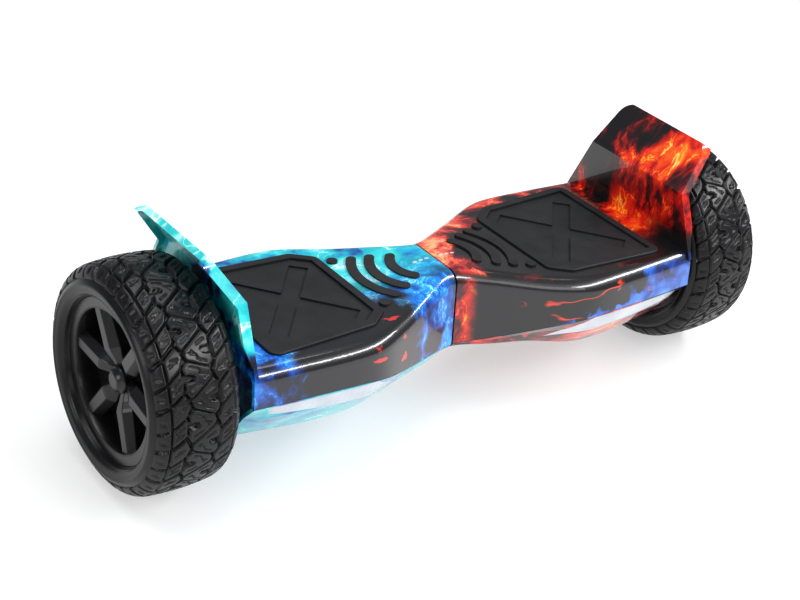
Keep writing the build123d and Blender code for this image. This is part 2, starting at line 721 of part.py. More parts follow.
def inlay(outline, proud=INLAY_PROUD):
    """Rubber that stands on the pocket floor and follows the deck's slope."""
    with BuildPart() as rubber:
        with BuildSketch(Plane.XY.offset(POCKET_FOOT_Z)):
            add(outline)
        extrude(amount=POCKET_HEIGHT)
        add(upper_body(-proud, SEAM_HALF_GAP, BODY_END_X), mode=Mode.INTERSECT)
        add(upper_body(INLAY_SINK - INLAY_FLOOR_GAP, SEAM_HALF_GAP, BODY_END_X), mode=Mode.SUBTRACT)
    return rubber


# ---------------------------------------------------------------- cast frame

def chassis(bore, stop_slot, board_posts):
    neck_x = WAIST_SCREW[0] + PLATE_NECK[0]
    shoulder_x = MIDDLE_SCREW[0] + PLATE_SHOULDER[0]
    with BuildPart() as frame:
        with BuildSketch(Plane.XY.offset(PLATE_Z)):
            with BuildLine():
                Polyline((BOSS_START_X, -PLATE_WAIST_HALF), (neck_x, -PLATE_NECK[1]),
                         (shoulder_x, -PLATE_SHOULDER[1]), (END_WALL_X - 1, -PLATE_END_HALF),
                         (END_WALL_X - 1, PLATE_END_HALF), (shoulder_x, PLATE_SHOULDER[1]),
                         (neck_x, PLATE_NECK[1]), (BOSS_START_X, PLATE_WAIST_HALF), close=True)
            make_face()
        extrude(amount=PLATE_THICKNESS)
        with BuildSketch(across(BOSS_START_X)):
            Circle(BOSS_RADIUS)
        extrude(amount=BOSS_END_X - BOSS_START_X)
        clamp_x = CLAMP_START_X + CLAMP_LENGTH / 2
        with Locations((clamp_x, 0, (PLATE_Z + AXLE_Z) / 2)):
            Box(CLAMP_LENGTH, 2 * CLAMP_HALF_WIDTH, AXLE_Z - PLATE_Z)
        rib_start = BOSS_START_X + RIB_TO_BOSS
        with Locations([((rib_start + CLAMP_START_X) / 2, side * RIB_SPACING / 2, (PLATE_Z + RIB_TOP_Z) / 2)
                        for side in (-1, 1)]):
            Box(CLAMP_START_X - rib_start, RIB_THICKNESS, RIB_TOP_Z - PLATE_Z)
        post_x, post_y = (size / 2 - BOARD_POST_INSET for size in BOARD_SIZE)
        with Locations([(PAD_CENTRE_X + x * post_x, y * post_y, (PLATE_TOP_Z + BOARD_Z) / 2)
                        for x in (-1, 1) for y in (-1, 1)]):
            Cylinder(BOARD_POST_RADIUS, BOARD_Z - PLATE_TOP_Z)
        if board_posts:
            with Locations([(x, y, (MAIN_BOARD_Z + BOARD_THICKNESS + PLATE_Z) / 2)
                            for x, y in main_board_corners()]):
                Cylinder(MAIN_POST_RADIUS, PLATE_Z - MAIN_BOARD_Z - BOARD_THICKNESS)
        with BuildSketch(across(0)):
            Circle(bore)
        extrude(amount=BOSS_END_X + 1, mode=Mode.SUBTRACT)
        with BuildSketch(across(CLAMP_START_X - 1)):
            Circle(AXLE_RADIUS)
        extrude(amount=CLAMP_LENGTH + 2, mode=Mode.SUBTRACT)
        with Locations([(x, y, AXLE_Z) for x, y in clamp_bolt_places()]):
            Cylinder(CLAMP_BOLT_RADIUS, 2 * BOLT_REACH + SEAT_GAP, mode=Mode.SUBTRACT)
        with BuildSketch(Plane.XY.offset(PLATE_Z)):
            with Locations(corners(BELLY_SCREWS) + corners(DECK_SCREWS)):
                Circle(SCREW_RADIUS + SCREW_GAP)
        extrude(amount=PLATE_THICKNESS, mode=Mode.SUBTRACT)
        if stop_slot:
            with BuildSketch(across(BOSS_END_X)):
                Circle(RING_RADIUS + 1)
            extrude(amount=SHAFT_STANDOUT + 2 * SEAT_GAP, mode=Mode.SUBTRACT)
            half_slot = PIN_RADIUS + BOSS_RADIUS * sin(radians(TWIST_LIMIT)) + STOP_GAP
            with Locations((PIN_X, 0, AXLE_Z + BOSS_RADIUS)):
                Box(2 * PIN_RADIUS + STOP_GAP, 2 * half_slot, 2 * (BOSS_RADIUS - SHAFT_RADIUS) + 1,
                    mode=Mode.SUBTRACT)
        else:
            with Locations((PIN_X, 0, AXLE_Z + BOSS_RADIUS)):
                Cylinder(PIN_RADIUS, 2 * BOSS_RADIUS, mode=Mode.SUBTRACT)
    return frame


def clamp_bolt_places():
    return [(x, side * (CLAMP_HALF_WIDTH - BOLT_INSET)) for side in (-1, 1)
            for x in (CLAMP_START_X + BOLT_INSET, CLAMP_START_X + CLAMP_LENGTH - BOLT_INSET)]


def main_board_corners():
    post_x, post_y = (size / 2 - MAIN_POST_INSET for size in MAIN_BOARD_SIZE)
    return [(BATTERY_CENTRE_X + x * post_x, y * post_y) for x in (-1, 1) for y in (-1, 1)]


def axle_clamp():
    clamp_x = CLAMP_START_X + CLAMP_LENGTH / 2
    with BuildPart() as clamp:
        with Locations((clamp_x, 0, (AXLE_Z + CLAMP_SPLIT + CLAMP_TOP_Z) / 2)):
            Box(CLAMP_LENGTH, 2 * CLAMP_HALF_WIDTH, CLAMP_TOP_Z - AXLE_Z - CLAMP_SPLIT)
        fillet(clamp.edges().filter_by(Axis.X).group_by(Axis.Z)[-1], CLAMP_CORNER_RADIUS)
        with BuildSketch(across(CLAMP_START_X - 1)):
            Circle(AXLE_RADIUS)
        extrude(amount=CLAMP_LENGTH + 2, mode=Mode.SUBTRACT)
        with Locations([(x, y, CLAMP_TOP_Z) for x, y in clamp_bolt_places()]):
            Cylinder(CLAMP_BOLT_HEAD + FIT_GAP, 2 * BOLT_HEAD_HEIGHT, mode=Mode.SUBTRACT)
            Cylinder(CLAMP_BOLT_RADIUS, 4 * CLAMP_TOP_RISE, mode=Mode.SUBTRACT)
    return clamp


def clamp_bolts():
    seat = CLAMP_TOP_Z - BOLT_HEAD_HEIGHT
    tip = AXLE_Z - BOLT_REACH
    with BuildPart() as bolts:
        for x, y in clamp_bolt_places():
            with Locations((x, y, seat + BOLT_HEAD_HEIGHT / 2)):
                Cylinder(CLAMP_BOLT_HEAD, BOLT_HEAD_HEIGHT)
            with Locations((x, y, (seat + tip) / 2)):
                Cylinder(CLAMP_BOLT_RADIUS, seat - tip)
        with BuildSketch(Plane.XY.offset(CLAMP_TOP_Z)):
            with Locations(clamp_bolt_places()):
                RegularPolygon(BOLT_KEY_RADIUS, 6)
        extrude(amount=-BOLT_KEY_DEPTH, mode=Mode.SUBTRACT)
    return bolts


def gyro_board():
    with BuildPart() as board:
        with Locations((PAD_CENTRE_X, 0, BOARD_Z + BOARD_THICKNESS / 2)):
            Box(BOARD_SIZE[0], BOARD_SIZE[1], BOARD_THICKNESS)
        for (length, width, height), y in ((GYRO_CHIP, GYRO_CHIP_Y), (GYRO_PLUG, GYRO_PLUG_Y)):
            with Locations((PAD_CENTRE_X, y, BOARD_TOP_Z + height / 2)):
                Box(length, width, height)
    return board


def pad_sensors():
    length, width, height = SENSOR_SIZE
    with BuildPart() as sensors:
        for side in (-1, 1):
            with Locations((PAD_CENTRE_X + side * POST_SPACING / 2, 0, BOARD_TOP_Z + height / 2)):
                Box(length, width, height)
            with Locations((PAD_CENTRE_X + side * POST_SPACING / 2, 0, BOARD_TOP_Z + height)):
                Box(SENSOR_SLOT, width, 2 * (height - SENSOR_FLOOR), mode=Mode.SUBTRACT)
    return sensors


# ---------------------------------------------------------------- hub motor and wheel

def ring(inner, outer, start, length):
    """Annulus about the wheel's axis; start is measured outward from the wheel's centre."""
    with BuildPart() as band:
        with BuildSketch(across(WHEEL_X + start)):
            Circle(outer)
            if inner:
                Circle(inner, mode=Mode.SUBTRACT)
        extrude(amount=length)
    return band.part


def motor_axle():
    start = CLAMP_START_X + AXLE_END_GAP
    end = WHEEL_X + OUTER_BEARING + BEARING_WIDTH
    shoulder = CLAMP_START_X + CLAMP_LENGTH + AXLE_END_GAP
    with BuildPart() as axle:
        with BuildSketch(across(start)):
            Circle(AXLE_RADIUS)
        extrude(amount=end - start)
        with BuildSketch(across(shoulder)):
            Circle(AXLE_SHOULDER_RADIUS)
        extrude(amount=WHEEL_X + INNER_BEARING - AXLE_END_GAP - shoulder)
        with BuildSketch(across(start)):
            Circle(AXLE_WIRE_RADIUS)
        extrude(amount=AXLE_WIRE_DEPTH, mode=Mode.SUBTRACT)
    return axle


def stator():
    start = WHEEL_X + STATOR_OFFSET - STATOR_WIDTH / 2
    yoke = YOKE_SHARE * STATOR_RADIUS
    with BuildPart() as core:
        with BuildSketch(across(start)):
            Circle(yoke)
            with PolarLocations((STATOR_RADIUS + yoke) / 2 - 1, SLOT_COUNT):
                Rectangle(STATOR_RADIUS - yoke, TOOTH_WIDTH)
            with PolarLocations((yoke + AXLE_RADIUS) / 2, YOKE_HOLE_COUNT):
                Circle(YOKE_HOLE_RADIUS, mode=Mode.SUBTRACT)
            Circle(AXLE_RADIUS, mode=Mode.SUBTRACT)
        extrude(amount=STATOR_WIDTH)
        with BuildSketch(across(start - COIL_THICKNESS)):
            with PolarLocations(yoke + COIL_LENGTH / 2 + COIL_TO_YOKE, SLOT_COUNT):
                Rectangle(COIL_LENGTH, TOOTH_WIDTH + 2 * COIL_THICKNESS)
        extrude(amount=STATOR_WIDTH + 2 * COIL_THICKNESS)
    return core


def magnets():
    radius = ROTOR_BORE_RADIUS - MAGNET_GLUE - MAGNET_THICKNESS / 2
    width = POLE_SHARE * 2 * pi * radius / MAGNET_COUNT
    with BuildPart() as poles:
        with BuildSketch(across(WHEEL_X + STATOR_OFFSET - STATOR_WIDTH / 2)):
            with PolarLocations(radius, MAGNET_COUNT):
                Rectangle(MAGNET_THICKNESS, width)
        extrude(amount=STATOR_WIDTH)
    return poles


def wheel_rim():
    """Motor shell and rim in one casting: seat for the tyre, lips, outer disc and bearing hub."""
    half = RIM_HALF_WIDTH
    seat = half - RIM_LIP_THICKNESS
    hub = BEARING_RADIUS + BEARING_WALL
    stop = OUTER_BEARING - 1
    end = OUTER_BEARING + BEARING_WIDTH
    with BuildPart() as rim:
        with BuildSketch(along()):
            with BuildLine():
                Polyline((-seat, ROTOR_BORE_RADIUS), (DISC_START, ROTOR_BORE_RADIUS), (DISC_START, hub),
                         (stop, hub), (stop, BEARING_RADIUS), (end, BEARING_RADIUS), (end, hub - 1),
                         (DISC_START + DISC_THICKNESS, hub), (DISC_START + DISC_THICKNESS, RIM_BORE_RADIUS),
                         (half, RIM_BORE_RADIUS), (half, RIM_LIP_RADIUS), (seat, RIM_LIP_RADIUS),
                         (seat, RIM_SEAT_RADIUS), (-seat, RIM_SEAT_RADIUS), (-seat, RIM_LIP_RADIUS),
                         (-half, RIM_LIP_RADIUS), (-half, COVER_RADIUS + FIT_GAP),
                         (-seat, COVER_RADIUS + FIT_GAP), close=True)
            make_face()
        revolve(axis=wheel_axis())
    return rim


def motor_cover():
    back = -RIM_HALF_WIDTH
    face = back + RIM_LIP_THICKNESS
    inside = face + COVER_THICKNESS
    hub = BEARING_RADIUS + BEARING_WALL
    stop = INNER_BEARING + BEARING_WIDTH + 1
    with BuildPart() as cover:
        with BuildSketch(along()):
            with BuildLine():
                Polyline((face, ROTOR_BORE_RADIUS - FIT_GAP), (inside, ROTOR_BORE_RADIUS - COVER_SLANT),
                         (inside, hub + COVER_THICKNESS), (stop, hub), (stop, BEARING_RADIUS),
                         (INNER_BEARING, BEARING_RADIUS), (INNER_BEARING, hub - 1),
                         (back, hub + COVER_RISE), (back, COVER_RADIUS), (face, COVER_RADIUS), close=True)
            make_face()
        revolve(axis=wheel_axis())
    return cover


def wheel_bearings():
    with BuildPart() as bearings:
        for start in (INNER_BEARING, OUTER_BEARING):
            add(ring(AXLE_RADIUS + RUNNING_GAP, BEARING_RADIUS, start, BEARING_WIDTH))
    return bearings


def tyre():
    half = TYRE_WIDTH / 2
    seat = RIM_HALF_WIDTH - RIM_LIP_THICKNESS
    bead = RIM_LIP_RADIUS + BEAD_RISE
    wall = RIM_LIP_RADIUS + WALL_RISE
    outside = [(seat, RIM_SEAT_RADIUS), (seat, bead), (half, wall), (half, TYRE_RADIUS - SHOULDER_DROP),
               (half - SHOULDER_WIDTH, TYRE_RADIUS - BEAD_RISE), (half - CROWN_START, TYRE_RADIUS)]
    inner = half - TYRE_WALL
    crown = TYRE_RADIUS - TREAD_THICKNESS
    mouth = seat - BEAD_WIDTH
    inside = [(mouth, RIM_SEAT_RADIUS - 1), (mouth + BEAD_RISE, RIM_LIP_RADIUS), (inner, wall),
              (inner - TYRE_WALL, crown)]
    with BuildPart() as rubber:
        with BuildSketch(along()):
            for points, mode in ((outside, Mode.ADD), (inside, Mode.SUBTRACT)):
                with BuildLine():
                    Polyline(*[(-x, r) for x, r in points], *reversed(points), close=True)
                make_face(mode=mode)
        revolve(axis=wheel_axis())
    return rubber


def wheel_cap():
    """Six-bladed trim that plugs into the open side of the rim."""
    seat = RIM_BORE_RADIUS - CAP_GAP
    with BuildPart() as blade:
        with BuildSketch(along()):
            with BuildLine():
                Polyline((CAP_NOSE - NECK_DIP, 0), (CAP_NOSE - NECK_DIP, NECK_RADIUS), (BLADE_FACE, BLADE_KNEE),
                         (BLADE_FACE, seat - 1), (CAP_SEAT, seat - 1), (BLADE_BACK, BLADE_KNEE),
                         (BLADE_BACK, 0), close=True)
            make_face()
        extrude(amount=SPOKE_WIDTH / 2, both=True)
    with BuildPart() as cap:
        add(ring(seat - CAP_WALL, seat, CAP_SEAT, CAP_SEAT_LENGTH))
        for spoke in range(SPOKE_COUNT):
            add(blade.part.rotate(wheel_axis(), (spoke + SPOKE_TURN) * 360 / SPOKE_COUNT))
        for radius, end in ((NECK_RADIUS, CAP_NOSE - NECK_DIP + 2), (NOSE_RADIUS, CAP_NOSE)):
            add(ring(0, radius, BLADE_BACK, end - BLADE_BACK))
    return cap


# ---------------------------------------------------------------- pivot between the halves

def pivot_shaft():
    """Steel tube locked in the left frame; the right frame turns on it."""
    with BuildPart() as shaft:
        with BuildSketch(across(-BOSS_END_X)):
            Circle(SHAFT_RADIUS)
            Circle(SHAFT_BORE_RADIUS, mode=Mode.SUBTRACT)
        extrude(amount=2 * BOSS_END_X + SHAFT_STANDOUT)
        with BuildSketch(across(BOSS_END_X + RING_GROOVE)):
            Circle(SHAFT_RADIUS + RING_BITE)
            Circle(SHAFT_RADIUS - RING_BITE, mode=Mode.SUBTRACT)
        extrude(amount=RING_THICKNESS, mode=Mode.SUBTRACT)
        for x in (-PIN_X, PIN_X):
            with Locations((x, 0, AXLE_Z + SHAFT_RADIUS)):
                Cylinder(PIN_RADIUS, SHAFT_RADIUS, mode=Mode.SUBTRACT)
    return shaft


def pivot_pins():
    """One pin locks the shaft in the left frame, the other stops the twist of the right frame."""
    foot = AXLE_Z + SHAFT_BORE_RADIUS
    with BuildPart() as pins:
        for x in (-PIN_X, PIN_X):
            with Locations((x, 0, (foot + AXLE_Z + BOSS_RADIUS) / 2)):
                Cylinder(PIN_RADIUS, AXLE_Z + BOSS_RADIUS - foot)
    return pins


def pivot_bushes():
    with BuildPart() as bushes:
        for start in (BOSS_START_X, BOSS_END_X - BUSH_LENGTH):
            with BuildSketch(across(start)):
                Circle(BUSH_RADIUS)
                Circle(SHAFT_RADIUS + RUNNING_GAP, mode=Mode.SUBTRACT)
            extrude(amount=BUSH_LENGTH)
    return bushes


def retaining_ring():
    with BuildPart() as clip:
        with BuildSketch(across(BOSS_END_X + RING_GROOVE)):
            Circle(RING_RADIUS)
            Circle(SHAFT_RADIUS - RING_BITE, mode=Mode.SUBTRACT)
            with Locations((0, -RING_RADIUS)):
                Rectangle(RING_SLIT, SHAFT_RADIUS - RING_BITE, mode=Mode.SUBTRACT)
        extrude(amount=RING_THICKNESS)
    return clip


def harness():
    """Cable that carries power and signals through the hollow shaft, with a plug at each end."""
    with BuildPart() as cable:
        with BuildSketch(across(-CABLE_HALF_LENGTH)):
            Circle(CABLE_RADIUS)
        extrude(amount=2 * CABLE_HALF_LENGTH)
    return cable


def harness_plug():
    """Plug that stands on the frame plate and takes the end of the cable."""
    length, width, height = PLUG_SIZE
    start = CABLE_HALF_LENGTH - CABLE_IN_PLUG
    with BuildPart() as plug:
        with Locations((start + length / 2, 0, PLATE_TOP_Z + height / 2)):
            Box(length, width, height)
        with BuildSketch(across(start)):
            Circle(CABLE_RADIUS + RUNNING_GAP)
        extrude(amount=CABLE_IN_PLUG + SEAT_GAP, mode=Mode.SUBTRACT)
    return plug


def harness_grommets():
    with BuildPart() as grommets:
        for start in (-BOSS_END_X, BOSS_END_X):
            with BuildSketch(across(start)):
                Circle(SHAFT_BORE_RADIUS)
                Circle(CABLE_RADIUS, mode=Mode.SUBTRACT)
            extrude(amount=GROMMET_LENGTH)
    return grommets


# ---------------------------------------------------------------- power parts

def battery_pack():
    with BuildPart() as pack:
        with Locations((BATTERY_CENTRE_X, 0, PLATE_Z - SEAT_GAP - BATTERY_HEIGHT / 2)):
            Box(BATTERY_LENGTH, BATTERY_WIDTH, BATTERY_HEIGHT)
        fillet(pack.edges().filter_by(Axis.X), BATTERY_EDGE_RADIUS)
    return pack


def main_board():
    """Control board under the left frame, with its heat sink, capacitors and sockets hanging from it."""
    with BuildPart() as board:
        with Locations((BATTERY_CENTRE_X, 0, MAIN_BOARD_Z + BOARD_THICKNESS / 2)):
            Box(MAIN_BOARD_SIZE[0], MAIN_BOARD_SIZE[1], BOARD_THICKNESS)
        width, depth = HEAT_SINK
        with Locations((BATTERY_CENTRE_X + HEAT_SINK_X, 0, MAIN_BOARD_Z - depth / 2)):
            Box(width, MAIN_BOARD_SIZE[1] - SINK_MARGIN, depth)
        radius, height = CAPACITOR
        with Locations([(BATTERY_CENTRE_X - CAPACITOR_X, y, MAIN_BOARD_Z - height / 2) for y in CAPACITOR_YS]):
            Cylinder(radius, height)
        length, width, height = BOARD_SOCKET
        with Locations([(BATTERY_CENTRE_X - BOARD_SOCKET_X, y, MAIN_BOARD_Z - height / 2)
                        for y in BOARD_SOCKET_YS]):
            Box(length, width, height)
    return board


def panel_barrel(x, bore, depth):
    face = panel_face_y(x)
    with BuildPart() as barrel:
        with BuildSketch(rear_plane(x, face - BARREL_LENGTH)):
            Circle(BARREL_RADIUS)
        extrude(amount=BARREL_LENGTH)
        with BuildSketch(rear_plane(x, face)):
            Circle(FLANGE_RADIUS)
        extrude(amount=FLANGE_THICKNESS)
        fillet(barrel.edges().filter_by(GeomType.CIRCLE).sort_by(Axis.Y)[-1], PANEL_EDGE_RADIUS)
        with BuildSketch(rear_plane(x, face + FLANGE_THICKNESS - depth)):
            Circle(bore)
        extrude(amount=depth, mode=Mode.SUBTRACT)
    return barrel


def power_button():
    face = panel_face_y(BUTTON_X) + FLANGE_THICKNESS
    with BuildPart() as button:
        with BuildSketch(rear_plane(BUTTON_X, face - BUTTON_SINK)):
            Circle(BUTTON_RADIUS)
        extrude(amount=BUTTON_SINK + BUTTON_PROUD)
        fillet(button.edges().sort_by(Axis.Y)[-1], PANEL_EDGE_RADIUS)
    return button


def charge_socket():
    with BuildPart() as socket:
        add(panel_barrel(SOCKET_X, PORT_RADIUS, PORT_DEPTH).part)
        bottom = panel_face_y(SOCKET_X) + FLANGE_THICKNESS - PORT_DEPTH
        with BuildSketch(rear_plane(SOCKET_X, bottom)):
            with PolarLocations(PORT_PIN_CIRCLE, PORT_PIN_COUNT, start_angle=90):
                Circle(PORT_PIN_RADIUS)
        extrude(amount=PORT_PIN_LENGTH)
    return socket


def panel_nuts():
    with BuildPart() as nuts:
        for x in (BUTTON_X, SOCKET_X):
            inside = panel_face_y(x) - WALL
            with BuildSketch(rear_plane(x, inside - NUT_THICKNESS)):
                RegularPolygon(FLANGE_RADIUS + 1, 6)
                Circle(BARREL_RADIUS, mode=Mode.SUBTRACT)
            extrude(amount=NUT_THICKNESS)
    return nuts


# ---------------------------------------------------------------- write every piece

def save_left(drawn, name):
    """Write a piece that only the left half has, drawn on the +X side."""
    with BuildPart() as left:
        mirror(drawn.part, about=Plane.YZ, mode=Mode.ADD)
    save(left, name)


os.makedirs("parts", exist_ok=True)

save(top_cover(with_panel=False), "right_top_cover")
save_left(top_cover(with_panel=True), "left_top_cover")
save(chassis(BUSH_RADIUS, stop_slot=True, board_posts=False), "right_chassis")
save_left(chassis(SHAFT_RADIUS, stop_slot=False, board_posts=True), "left_chassis")

save_pair(bottom_cover(), "bottom_cover")
save_pair(lamp_shell(0, WALL, 0), "lamp_lens")
save_pair(lamp_shell(WALL + LAMP_STRIP_GAP, WALL + LAMP_STRIP_GAP + LAMP_STRIP_THICKNESS, -3), "lamp_strip")
save_pair(foot_pad(), "foot_pad")
save_pair(inlay(strips_outline(0)), "grip_strips")
save_pair(inlay(dots_outline(0)), "grip_dots")
save_pair(inlay(indicators_outline(0), proud=LENS_PROUD), "indicator_lenses")
save_pair(belly_screws(), "bottom_cover_screws")
save_pair(deck_screws(), "top_cover_screws")
save_pair(axle_clamp(), "axle_clamp")
save_pair(clamp_bolts(), "axle_clamp_bolts")
save_pair(gyro_board(), "gyro_board")
save_pair(pad_sensors(), "pad_sensors")
save_pair(motor_axle(), "motor_axle")
save_pair(stator(), "motor_stator")
save_pair(magnets(), "motor_magnets")
save_pair(wheel_rim(), "wheel_rim")
save_pair(motor_cover(), "motor_cover")
save_pair(wheel_bearings(), "wheel_bearings")
save_pair(tyre(), "tyre")
save_pair(wheel_cap(), "wheel_cap")

save(pivot_shaft(), "pivot_shaft")
save(pivot_pins(), "pivot_pins")
save(pivot_bushes(), "pivot_bushes")
save(retaining_ring(), "pivot_retaining_ring")
save(harness(), "harness_cable")
save_pair(harness_plug(), "harness_plug")
save(harness_grommets(), "harness_grommets")
save(battery_pack(), "battery_pack")
save_left(main_board(), "main_board")
button_room = BUTTON_SINK + BUTTON_TRAVEL + BUTTON_FLOOR_GAP
save_left(panel_barrel(BUTTON_X, BUTTON_RADIUS + BUTTON_GAP, button_room), "power_button_housing")
save_left(power_button(), "power_button")
save_left(charge_socket(), "charge_socket")
save_left(panel_nuts(), "panel_nuts")
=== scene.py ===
import bmesh
import bpy
import math
import numpy as np
from mathutils import Matrix, Vector


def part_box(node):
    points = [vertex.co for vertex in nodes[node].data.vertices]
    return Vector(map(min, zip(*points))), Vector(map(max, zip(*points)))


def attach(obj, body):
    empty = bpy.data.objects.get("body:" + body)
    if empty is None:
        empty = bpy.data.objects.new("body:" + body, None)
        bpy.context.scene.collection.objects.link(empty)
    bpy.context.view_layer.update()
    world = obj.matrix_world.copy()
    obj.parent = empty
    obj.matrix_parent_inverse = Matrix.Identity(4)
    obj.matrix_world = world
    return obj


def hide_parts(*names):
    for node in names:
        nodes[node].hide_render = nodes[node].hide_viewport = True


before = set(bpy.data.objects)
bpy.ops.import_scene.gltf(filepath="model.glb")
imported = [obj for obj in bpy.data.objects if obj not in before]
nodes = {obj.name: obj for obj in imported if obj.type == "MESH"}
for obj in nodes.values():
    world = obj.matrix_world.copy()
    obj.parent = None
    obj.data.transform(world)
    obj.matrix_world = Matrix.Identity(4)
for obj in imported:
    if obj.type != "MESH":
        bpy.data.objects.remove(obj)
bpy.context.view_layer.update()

TYRE_LO, TYRE_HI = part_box("right_tyre")
AXLE_Z = (TYRE_LO.z + TYRE_HI.z) / 2
TYRE_R = (TYRE_HI.z - TYRE_LO.z) / 2
WHEEL_X = (TYRE_LO.x + TYRE_HI.x) / 2
TYRE_HALF = (TYRE_HI.x - TYRE_LO.x) / 2
MM = 0.001


# ------------------------------------------------------------------ materials

class Graph:
    """A procedural material under construction; numbers given by name sit on the shader's own sockets."""

    def __init__(self, name, **fixed):
        self.mat = bpy.data.materials.new(name)
        self.mat.use_nodes = True
        self.tree = self.mat.node_tree
        self.tree.nodes.clear()
        out = self.add("ShaderNodeOutputMaterial")
        self.shader = self.add("ShaderNodeBsdfPrincipled")
        self.tree.links.new(self.shader.outputs[0], out.inputs[0])
        for key, value in fixed.items():
            self.shader.inputs[key.replace("_", " ")].default_value = value
        coords = self.add("ShaderNodeTexCoord")
        self.place, self.normal = coords.outputs["Object"], coords.outputs["Normal"]
        axes = self.add("ShaderNodeSeparateXYZ")
        self.join(self.place, axes.inputs[0])
        self.x, self.y, self.z = axes.outputs
        facing = self.add("ShaderNodeSeparateXYZ")
        self.join(self.normal, facing.inputs[0])
        self.nx, self.ny, self.nz = facing.outputs

    def add(self, kind):
        return self.tree.nodes.new(kind)

    def join(self, value, socket):
        if isinstance(value, bpy.types.NodeSocket):
            self.tree.links.new(value, socket)
        else:
            socket.default_value = value

    def math(self, op, *values, clamp=False):
        node = self.add("ShaderNodeMath")
        node.operation = op
        node.use_clamp = clamp
        for value, socket in zip(values, node.inputs):
            self.join(value, socket)
        return node.outputs[0]

    def smooth(self, value, low, high):
        """0 below low, 1 above high (or the reverse), eased between."""
        node = self.add("ShaderNodeMapRange")
        node.interpolation_type = "SMOOTHSTEP"
        self.join(value, node.inputs[0])
        flip = low > high
        limits = (min(low, high), max(low, high), float(flip), float(not flip))
        for socket, number in zip(node.inputs[1:5], limits):
            socket.default_value = number
        return node.outputs[0]

    def both(self, *masks):
        out = masks[0]
        for mask in masks[1:]:
            out = self.math("MULTIPLY", out, mask)
        return out

    def either(self, *masks):
        out = masks[0]
        for mask in masks[1:]:
            out = self.math("MAXIMUM", out, mask)
        return out

    def moved(self, stretch=(1, 1, 1), turn=(0, 0, 0), shift=(0, 0, 0), vector=None):
        node = self.add("ShaderNodeMapping")
        self.join(vector or self.place, node.inputs["Vector"])
        node.inputs["Location"].default_value = shift
        node.inputs["Rotation"].default_value = [math.radians(a) for a in turn]
        node.inputs["Scale"].default_value = stretch
        return node.outputs[0]

    def noise(self, scale, detail=3.0, vector=None, rough=0.5, twist=0.0, colour=False):
        node = self.add("ShaderNodeTexNoise")
        self.join(vector or self.place, node.inputs["Vector"])
        node.inputs["Scale"].default_value = scale
        node.inputs["Detail"].default_value = detail
        node.inputs["Roughness"].default_value = rough
        node.inputs["Distortion"].default_value = twist
        return node.outputs[1 if colour else 0]

    def swirled(self, scale, amount, vector=None):
        """Coordinates pushed about by a noise, so that what is drawn on them curls like smoke."""
        drift = self.add("ShaderNodeVectorMath")
        drift.operation = "MULTIPLY_ADD"
        self.join(self.noise(scale, 2.0, vector, colour=True), drift.inputs[0])
        drift.inputs[1].default_value = (amount,) * 3
        self.join(vector or self.place, drift.inputs[2])
        return drift.outputs[0]

    def ramp(self, value, stops):
        node = self.add("ShaderNodeValToRGB")
        self.join(value, node.inputs[0])
        ramp = node.color_ramp
        while len(ramp.elements) < len(stops):
            ramp.elements.new(0.5)
        for element, (place, colour) in zip(ramp.elements, stops):
            element.position = place
            element.color = (*colour, 1.0)
        return node.outputs[0]

    def blend(self, mask, under, over):
        node = self.add("ShaderNodeMix")
        node.data_type = "RGBA"
        for value, socket in ((mask, node.inputs[0]), (under, node.inputs[6]), (over, node.inputs[7])):
            self.join((*value, 1.0) if isinstance(value, tuple) else value, socket)
        return node.outputs[2]

    def colour(self, value):
        self.join(value, self.shader.inputs["Base Color"])

    def roughness(self, low, high, scale, detail=4.0):
        rough = self.add("ShaderNodeMapRange")
        self.join(self.noise(scale, detail), rough.inputs[0])
        rough.inputs[3].default_value, rough.inputs[4].default_value = low, high
        self.join(rough.outputs[0], self.shader.inputs["Roughness"])

    def bump(self, height, strength, distance):
        node = self.add("ShaderNodeBump")
        self.join(height, node.inputs["Height"])
        node.inputs["Strength"].default_value = strength
        node.inputs["Distance"].default_value = distance
        self.join(node.outputs[0], self.shader.inputs["Normal"])


def plain(name, dark, light, rough, scale=60.0, metal=0.0, grain=0.0, grain_scale=900.0, **fixed):
    """Moulded or machined stuff: two close tones, uneven gloss and a fine grain."""
    g = Graph(name, Metallic=metal, **fixed)
    g.colour(g.ramp(g.noise(scale, 5.0), [(0.3, dark), (0.7, light)]))
    g.roughness(rough[0], rough[1], scale * 0.7)
    if grain:
        g.bump(g.noise(grain_scale, 3.0), grain, 0.0004)
    return g.mat


FIRE = [(0.30, (0.003, 0.002, 0.003)), (0.42, (0.07, 0.001, 0.002)), (0.52, (0.42, 0.006, 0.003)),
        (0.66, (0.85, 0.030, 0.004)), (0.80, (0.95, 0.16, 0.008)), (0.90, (1.0, 0.48, 0.03)),
        (1.0, (1.0, 0.80, 0.30))]
EMBER = [(0.34, (0.005, 0.004, 0.005)), (0.48, (0.16, 0.008, 0.010)), (0.60, (0.62, 0.045, 0.030)),
         (0.74, (0.85, 0.17, 0.09)), (0.92, (1.0, 0.42, 0.20))]
BLUE_FLAME = [(0.34, (0.004, 0.008, 0.03)), (0.45, (0.01, 0.05, 0.30)), (0.58, (0.03, 0.17, 0.66)),
              (0.80, (0.18, 0.40, 0.88))]
DEEP_ICE = [(0.32, (0.002, 0.004, 0.012)), (0.41, (0.002, 0.02, 0.12)), (0.50, (0.003, 0.09, 0.45)),
            (0.60, (0.008, 0.24, 0.78)), (0.72, (0.04, 0.46, 0.90)), (0.84, (0.40, 0.76, 0.96))]
TEAL_ICE = [(0.26, (0.002, 0.01, 0.05)), (0.35, (0.004, 0.10, 0.34)), (0.45, (0.004, 0.34, 0.56)),
            (0.55, (0.008, 0.52, 0.58)), (0.67, (0.05, 0.68, 0.66)), (0.78, (0.30, 0.86, 0.86)),
            (0.90, (0.85, 0.97, 1.0))]


